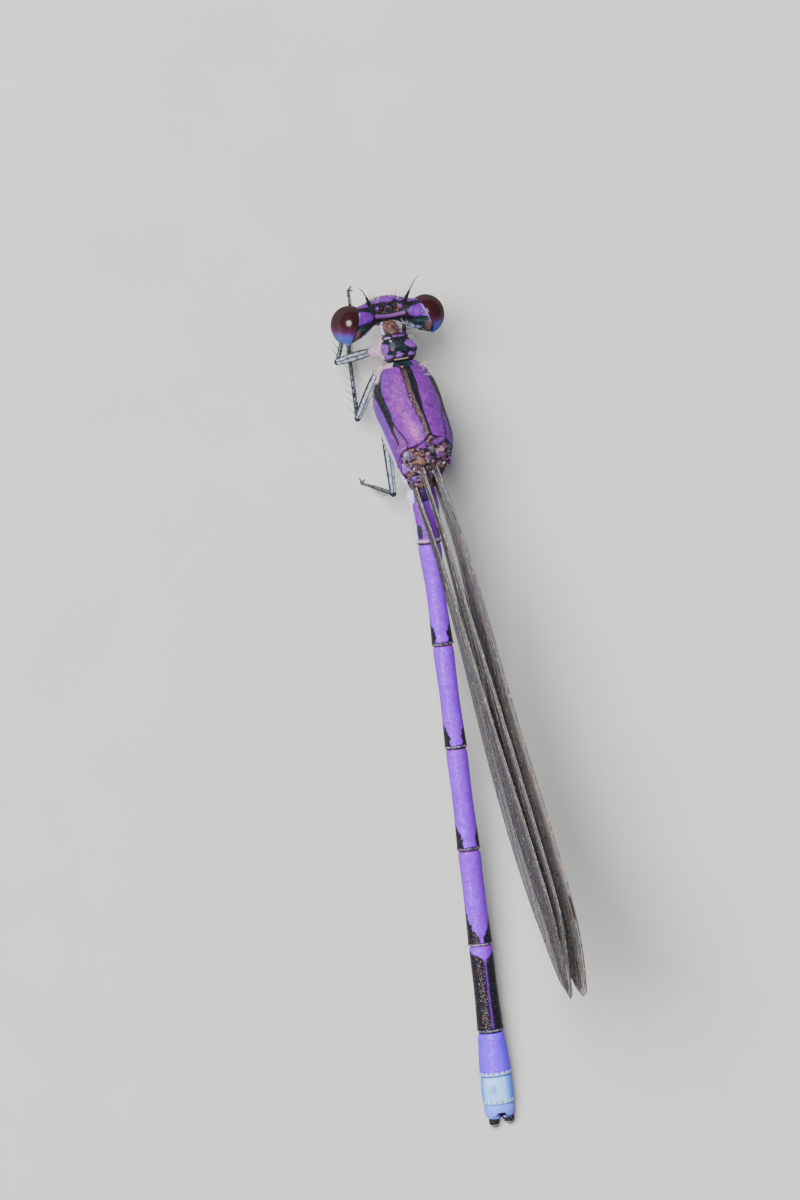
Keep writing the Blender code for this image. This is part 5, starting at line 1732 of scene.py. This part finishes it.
# root of the hip, its end, knee and ankle; then, on the floor, the toe and where its claws point
LEGS = {
    "fore_left": (
        (0.46, -5.45, 2.95), (0.92, -5.52, 2.5), (1.98, -5.35, 1.5), (0.76, -7.41, 0.15),
        (0.71, -8.05), (0.42, -8.12),
    ),
    "fore_right": (
        (-0.35, -5.45, 2.9), (-0.56, -5.5, 2.3), (-0.72, -5.3, 1.4), (-1.32, -6.7, 0.15),
        (-1.52, -7.22), (-1.4, -7.42),
    ),
    "mid_left": (
        (0.45, -4.7, 2.5), (0.66, -4.68, 2.02), (1.46, -3.11, 1.2), (1.08, -5.95, 0.15),
        (0.66, -6.52), (0.42, -6.62),
    ),
    "mid_right": (
        (-0.35, -4.65, 2.5), (-0.58, -4.62, 1.92), (-1.24, -3.95, 1.45), (-1.88, -3.3, 0.15),
        (-2.02, -3.85), (-1.92, -4.08),
    ),
    "hind_left": (
        (0.38, -3.95, 2.05), (0.52, -3.72, 1.55), (0.74, -0.05, 1.88), (0.96, -0.44, 0.15),
        (1.42, -0.66), (1.3, -0.95),
    ),
    "hind_right": (
        (-0.38, -3.95, 2.05), (-0.55, -3.72, 1.55), (-0.86, -0.6, 1.8), (-1.6, -1.3, 0.15),
        (-2.0, -1.62), (-1.9, -1.9),
    ),
}
# shares of the foot where its three parts start and end, and their radii
FOOT_JOINTS = ((0.0, 0.26), (0.26, 0.56), (0.56, 1.0))
FOOT_RADII = (0.042, 0.05, 0.052, 0.044)
LEG_PALE = rgb(0.29, 0.32, 0.42)
LEG_DARK = rgb(0.01, 0.01, 0.015)


# %% Limbs and hips
def leg_paint(rings, paleness, seed):
    """Pale and dark lines along a leg, by the angle around it."""
    points = rings.reshape(-1, 3)
    angle = np.tile(np.linspace(0.0, 360.0, rings.shape[1], endpoint=False), rings.shape[0])
    angle = (angle + 180) % 360 - 180
    grain = mottle(points, 0.07, seed)
    colours = np.tile(LEG_DARK, (len(points), 1))
    lines = band(angle, -48, -15, 8) + band(angle, 15, 48, 8) + 0.6 * band(np.abs(angle), 100, 150, 16)
    lines = lines * (1 - 0.6 * bump(angle, 40, 14) * step(mottle(points, 0.05, seed + 7), 0.2, 0.5))
    colours = cover(colours, LEG_PALE, np.clip(lines * paleness + 0.22 * grain * lines, 0, 1))
    return np.clip(toned(colours, 0.15 * grain), 0.004, 1.0)


def limb(path, radii, paleness, seed, rows=70, sides=18):
    rings = tube(path, radii, sides, rows)
    return skin_over(rings, leg_paint(rings, paleness, seed))


def ball(centre, radius, colour):
    return plain_shell(dome(centre, (radius,) * 3, sides=16), colour)


def hip_joint(root, hip, seed):
    """The short thick first joint, pale and a little rosy."""
    rings = tube((root, (root + hip) / 2, hip), (0.3, 0.27, 0.17), 24, 30)
    grain = mottle(rings, 0.1, seed)
    colours = toned(PINKISH, 0.25 * np.clip(grain, -1, 1))
    return skin_over(rings, cover(colours, GREY_BLUE * 0.5, step(grain, 1.0, 0.6) * 0.7))


# %% Make the legs
def make_leg(word, places, seed):
    root, hip, knee, ankle = (np.array(place) for place in places[:4])
    toe, tip = (np.array((*place, FOOT_HEIGHT)) for place in places[4:])
    thigh = knee - hip
    shells = [
        hip_joint(root, hip, seed),
        ball(hip, 0.17, LEG_PALE * 0.3),
        limb((hip, hip + thigh * 0.5, knee), (0.13, 0.175, 0.175, 0.155, 0.125), 1.0, seed + 1),
        ball(knee, 0.13, LEG_DARK * 1.5),
        limb((knee, (knee + ankle) / 2, ankle), (0.092, 0.084, 0.078, 0.066), 0.22, seed + 2),
        ball(ankle, 0.075, LEG_DARK),
    ]
    for share_from, share_to in FOOT_JOINTS:
        start, end = (ankle + (toe - ankle) * share for share in (share_from, share_to))
        shells.append(limb((start, (start + end) / 2, end), FOOT_RADII, 0.25, seed + 3, 16, 12))
    hook = unit(tip - toe)
    side = unit(np.cross(hook, (0.0, 0.0, 1.0)))
    for way in (1, -1):
        bow = toe + hook * 0.12 + side * way * 0.07 + (0, 0, 0.02)
        end = toe + hook * 0.2 + side * way * 0.12 - (0, 0, 0.035)
        shells.append(plain_shell(tube((toe, bow, end), (0.024, 0.02, 0.008), 8, 12), LEG_DARK))
    settle_piece(make_piece(f"leg_{word}_shell", shells, leg_finish), "leg_shell", f"leg_{word}")


for index, (word, places) in enumerate(LEGS.items()):
    make_leg(word, places, 60 + 5 * index)


# %% Claspers at the tail
CLASPER_SIDES, CLASPER_ROWS = 24, 40


def make_claspers():
    """Two short upper lobes with dark tips and two paler lower ones."""
    end = ABDOMEN_SPAN[1]
    axis = abdomen_axis(end)
    place = np.repeat(np.linspace(0.0, 1.0, CLASPER_ROWS), CLASPER_SIDES)
    shells = []
    for side in (1, -1):
        upper = (
            (side * 0.22, end - 0.26, axis + 0.12),
            (side * 0.3, end + 0.02, axis + 0.15),
            (side * 0.3, end + 0.28 + 0.03 * side, axis + 0.06),
        )
        lower = (
            (side * 0.18, end - 0.22, axis - 0.12),
            (side * 0.22, end, axis - 0.14),
            (side * 0.2, end + 0.18, axis - 0.08),
        )
        for path, radii, tint, from_here in (
            (upper, (0.17, 0.2, 0.21, 0.19, 0.1), LILAC, 0.46),
            (lower, (0.15, 0.13, 0.1, 0.05), PALE * 0.7, 0.62),
        ):
            rings = tube(path, radii, CLASPER_SIDES, CLASPER_ROWS, flat=0.62)
            rings[..., 2] = np.maximum(rings[..., 2], FLOOR_GAP)
            coat = Coats(np.tile(tint, (len(place), 1)))
            coat(BLACK * 1.5, step(place, from_here, 0.1))
            # a cream band near each tip, a painted highlight
            coat(CREAM, band(place, 0.84, 0.92, 0.05) * 0.8)
            shells.append(skin_over(rings, with_painted_glints(coat.colours, 0.3)))
    settle_piece(make_piece("claspers", shells, body_finish), "tail_blue")


make_claspers()


# %% [markdown]
# ## Hairs and bristles
#
# Pale hairs stand on the sides of the thorax, the brow and the abdomen; the legs carry two rows
# of long dark spurs.  Each hair is the same small tapered cone.  Its root, direction and length
# are chosen here on the surface it grows from; a node tree sets one cone on every root, bends it
# and writes where on the body's map it stands.  Blender's own hair is quicker to plant, but it is
# no mesh.


# %% A node tree that plants hairs
HAIR_NUMBERS = (
    ("Sides", "NodeSocketInt", 3),
    ("Segments", "NodeSocketInt", 3),
    ("Thickness", "NodeSocketFloat", 0.04),
    ("Bend", "NodeSocketFloat", 0.2),
    ("Patch", "NodeSocketFloat", 0.003),
    ("Seed", "NodeSocketInt", 7),
)


def store_attribute(tree, geometry, name, value, kind, domain="POINT"):
    inputs = {"Geometry": geometry, "Name": name, "Value": value}
    node = add_node(tree, "GeometryNodeStoreNamedAttribute", inputs, data_type=kind, domain=domain)
    return node.outputs["Geometry"]


def bent_cone(tree, given):
    """One hair of length 1 that bows to one side and remembers where on it each point lies."""
    cone = add_node(tree, "GeometryNodeMeshCone", {
        "Vertices": given["Sides"],
        "Side Segments": given["Segments"],
        "Radius Bottom": given["Thickness"],
        "Radius Top": 0.004,
        "Depth": 1.0,
    })
    place = tree.nodes.new("GeometryNodeInputPosition").outputs["Position"]
    axes = add_node(tree, "ShaderNodeSeparateXYZ", {"Vector": place}).outputs
    bow = combine(tree, "MULTIPLY", combine(tree, "MULTIPLY", axes["Z"], axes["Z"]), given["Bend"])
    offset = add_node(tree, "ShaderNodeCombineXYZ", {"X": bow}).outputs["Vector"]
    bend = add_node(tree, "GeometryNodeSetPosition", {"Geometry": cone.outputs["Mesh"], "Offset": offset})
    shape = add_node(tree, "ShaderNodeCombineXYZ", {"X": axes["X"], "Y": axes["Z"]}).outputs["Vector"]
    return store_attribute(tree, bend.outputs["Geometry"], "tuft_place", shape, "FLOAT_VECTOR")


# %% Plant a cone on every root
def hair_tree(name, finish):
    """One cone on every root, turned to its direction and mapped to a small patch around its root."""
    tree, given, realize, paint = new_tree(name, HAIR_NUMBERS, finish)
    hair = bent_cone(tree, given)
    lie = read_attribute(tree, "lie", "FLOAT_VECTOR")
    aim = add_node(tree, "FunctionNodeAlignRotationToVector", {"Vector": lie}, axis="Z")
    chance = add_node(tree, "FunctionNodeRandomValue", {"Max": math.tau, "Seed": given["Seed"]})
    spin = add_node(tree, "FunctionNodeAxisAngleToRotation", {"Angle": socket_named(chance.outputs, "Value")})
    turn = add_node(tree, "FunctionNodeRotateRotation", rotation_space="LOCAL")
    feed(turn, Rotation=aim.outputs["Rotation"], Rotate_By=spin.outputs["Rotation"])
    plant = add_node(tree, "GeometryNodeInstanceOnPoints", {
        "Points": given["Geometry"],
        "Instance": hair,
        "Rotation": turn.outputs["Rotation"],
        "Scale": read_attribute(tree, "hair_length"),
    })
    feed(realize, Geometry=plant.outputs["Instances"])
    shape = add_node(tree, "ShaderNodeVectorMath", operation="SCALE")
    feed(shape, Vector=read_attribute(tree, "tuft_place", "FLOAT_VECTOR"), Scale=given["Patch"])
    middle = read_attribute(tree, "root_map", "FLOAT_VECTOR")
    chart = combine(tree, "ADD", middle, shape.outputs["Vector"], "ShaderNodeVectorMath")
    mapped = store_attribute(tree, realize.outputs["Geometry"], "OFBake", chart, "FLOAT2", "CORNER")
    feed(paint, Geometry=mapped)
    return tree


# %% Hairs from their roots
def plant_hairs(name, roots, tree, finish, **settings):
    """One piece of hairs, grown from points that carry a direction, a length and a place on the map."""
    places, lies, lengths, maps = roots
    mesh = bpy.data.meshes.new(name)
    mesh.from_pydata(in_frame(places).tolist(), [], [])
    mesh.attributes.new("lie", "FLOAT_VECTOR", "POINT").data.foreach_set("vector", lies.ravel())
    scale = lengths * MILLIMETRE
    mesh.attributes.new("hair_length", "FLOAT", "POINT").data.foreach_set("value", scale)
    flat = np.column_stack([maps, np.zeros(len(maps))])
    mesh.attributes.new("root_map", "FLOAT_VECTOR", "POINT").data.foreach_set("vector", flat.ravel())
    settle_piece(grow(name, mesh, tree, settings, finish), "horn")


def joined(patches):
    """The same four columns of several patches, one below another."""
    return [np.concatenate(column) for column in zip(*patches)]


pale_hairs = hair_tree("plant_pale_hairs", hair_finish)
dark_bristles = hair_tree("plant_dark_bristles", bristle_finish)


# %% Choose the roots on the body
HAIR_SPREAD, HEAD_HAIR_SPREAD = 0.25, 0.22
ROOT_DEPTH = 0.01


def scatter(seed, count, y_range, angle_range, length_range, both_sides):
    """Random places, angles and lengths for a patch of hairs."""
    draw = np.random.default_rng(seed)
    y = draw.uniform(*y_range, count)
    angle = draw.uniform(*angle_range, count)
    if both_sides:
        angle = angle * draw.choice((-1.0, 1.0), count)
    return y, angle, draw.uniform(*length_range, count)


def planted(carrier, seed, count, y_range, angle_range, length_range):
    """Roots, directions, lengths and map places of one patch of hairs on a tube-like surface."""
    surface, strip, span, lean_back, both_sides = carrier
    y, angle, lengths = scatter(seed, count, y_range, angle_range, length_range, both_sides)
    draw = np.random.default_rng(seed)
    here = surface(y, angle)
    ahead = unit(surface(y + 0.02, angle) - here)
    around_it = unit(surface(y, angle + 0.5) - here)
    outward = unit(np.cross(ahead, around_it))
    middle = np.stack([np.zeros_like(y), y, np.full_like(y, AXIS_HEIGHT)], -1)
    outward *= np.sign((outward * (here - middle)).sum(-1, keepdims=True))
    lie = unit(outward + ahead * lean_back + draw.normal(size=here.shape) * HAIR_SPREAD)
    low, high = strip
    u = ((180.0 - angle) % 360.0) / 360.0
    v = low + (high - low) * (y - span[0]) / (span[1] - span[0])
    return here - outward * ROOT_DEPTH, lie, lengths, np.column_stack([u, v])


# %% Plant the body's hairs
# the part that carries a patch: surface, map strip, span, lean back, and whether both sides have it
ON_THORAX = (thorax_point, THORAX_MAP, THORAX_SPAN, 0.2, False)
ON_PROTHORAX = (prothorax_point, PROTHORAX_MAP, PROTHORAX_SPAN, -0.2, True)
ON_ABDOMEN = (abdomen_point, ABDOMEN_MAP, ABDOMEN_SPAN, 0.9, True)
# seed, number of hairs, places along the body, angles from the top, lengths
PATCHES = (
    (ON_THORAX, 101, 150, (-4.6, -1.6), (-100, -66), (0.10, 0.26)),
    (ON_THORAX, 102, 13, (-4.85, -4.2), (-66, -34), (0.28, 0.46)),
    (ON_THORAX, 103, 60, (-4.4, -1.6), (86, 112), (0.10, 0.24)),
    (ON_THORAX, 104, 240, (-4.2, -0.4), (112, 165), (0.16, 0.32)),
    (ON_THORAX, 105, 200, (-4.2, -0.4), (-165, -104), (0.16, 0.32)),
    (ON_THORAX, 106, 90, (-4.6, -2.0), (20, 60), (0.04, 0.08)),
    (ON_PROTHORAX, 111, 90, (-5.9, -5.1), (46, 125), (0.10, 0.24)),
    (ON_ABDOMEN, 121, 170, (0.2, 3.2), (84, 165), (0.12, 0.28)),
    (ON_ABDOMEN, 123, 900, (2.0, 23.8), (0, 130), (0.035, 0.075)),
)
roots = joined(planted(*patch) for patch in PATCHES)
places, lies, lengths, maps = roots
above_floor = places[:, 2] + 1.3 * lengths * np.minimum(lies[:, 2], 0.0) > 0.02
roots = [column[above_floor] for column in roots]
plant_hairs("body_hairs", roots, pale_hairs, hair_finish, Thickness=0.019, Bend=0.14, Seed=3)


# %% Bristles of the head
def head_hairs(seed, count, x_range, angle_range, length_range, lean):
    draw = np.random.default_rng(seed)
    x = draw.uniform(*x_range, count)
    angle = draw.uniform(*angle_range, count)
    here = head_surface(x, angle)
    outward = unit(here - HEAD - np.stack([x * 0.6, np.full(count, -0.3), np.full(count, -0.05)], -1))
    lie = unit(outward + np.asarray(lean) + draw.normal(size=here.shape) * HEAD_HAIR_SPREAD)
    u, v = angle / 360.0, HEAD_MAP[1] * (x + HEAD_HALF) / (2 * HEAD_HALF)
    return here - outward * ROOT_DEPTH, lie, draw.uniform(*length_range, count), np.column_stack([u, v])


# seed, number of hairs, sideways places, angles around the head, lengths, lean
HEAD_PATCHES = (
    (130, 18, (0.34, 0.66), (136, 180), (0.34, 0.62), (0.10, -1.1, 0.1)),
    (131, 22, (-0.78, -0.24), (136, 180), (0.34, 0.66), (-0.05, -1.1, 0.1)),
    (135, 8, (-0.24, 0.34), (140, 180), (0.20, 0.36), (0.0, -1.1, 0.1)),
    (132, 60, (-0.60, 0.60), (180, 232), (0.20, 0.40), (0.0, -0.9, -0.1)),
    (133, 60, (-1.50, 1.50), (2, 40), (0.10, 0.20), (0.0, 0.6, 0.0)),
    (134, 60, (-0.60, 0.60), (232, 300), (0.12, 0.24), (0.0, -0.2, -0.6)),
)
roots = joined(head_hairs(*patch) for patch in HEAD_PATCHES)
plant_hairs("brow_hairs", roots, pale_hairs, hair_finish, Thickness=0.022, Bend=0.14, Seed=5)


# %% Spurs of the legs
# distance from the middle of the leg, length of the longest spur, number in a row
SHIN_SPURS, THIGH_SPURS = (0.07, 0.52, 8), (0.12, 0.28, 6)
STUBBLE, STUBBLE_LENGTH = 40, 0.13  # short hairs all over the shin


def leg_spurs(places, seed):
    """Two rows of long spurs on the shin and of shorter ones on the thigh."""
    draw = np.random.default_rng(seed)
    hip, knee, ankle = (np.array(place) for place in places[1:4])
    shin, thigh = ankle - knee, knee - hip
    outward = unit(np.cross(shin, thigh))
    rows = []
    for start, line, (radius, longest, count) in ((knee, shin, SHIN_SPURS), (hip, thigh, THIGH_SPURS)):
        behind = unit(np.cross(line, outward))
        for side in (1, -1):
            for number in range(count):
                share = (number + 0.6 + draw.uniform(-0.15, 0.15)) / (count + 0.4)
                lie = unit(line) * 0.55 + outward * side * 0.75 - behind * 0.35
                lie = unit(lie + draw.normal(size=3) * 0.06)
                base = start + line * share + outward * side * radius * 0.8
                length = longest * (1.05 - 0.45 * share) * draw.uniform(0.85, 1.1)
                clear = (base[2] - FLOOR_GAP) / max(-lie[2], 1e-6)
                length = min(length, 0.85 * clear) if lie[2] < 0 else length
                rows.append((base, lie, length, (share, 0.5 + 0.4 * side)))
    for number in range(STUBBLE):
        share = draw.uniform(0.05, 0.98)
        lie = unit(unit(shin) * 0.8 + draw.normal(size=3) * 0.6)
        base = knee + shin * share
        if base[2] + lie[2] * STUBBLE_LENGTH > 0.05:
            rows.append((base, lie, STUBBLE_LENGTH, (share, 0.5)))
    return rows


spurs = [row for index, places in enumerate(LEGS.values()) for row in leg_spurs(places, 140 + index)]
roots = [np.array(column) for column in zip(*spurs)]
plant_hairs("leg_spurs", roots, dark_bristles, bristle_finish, Sides=5, Thickness=0.034, Bend=0.1, Seed=9)
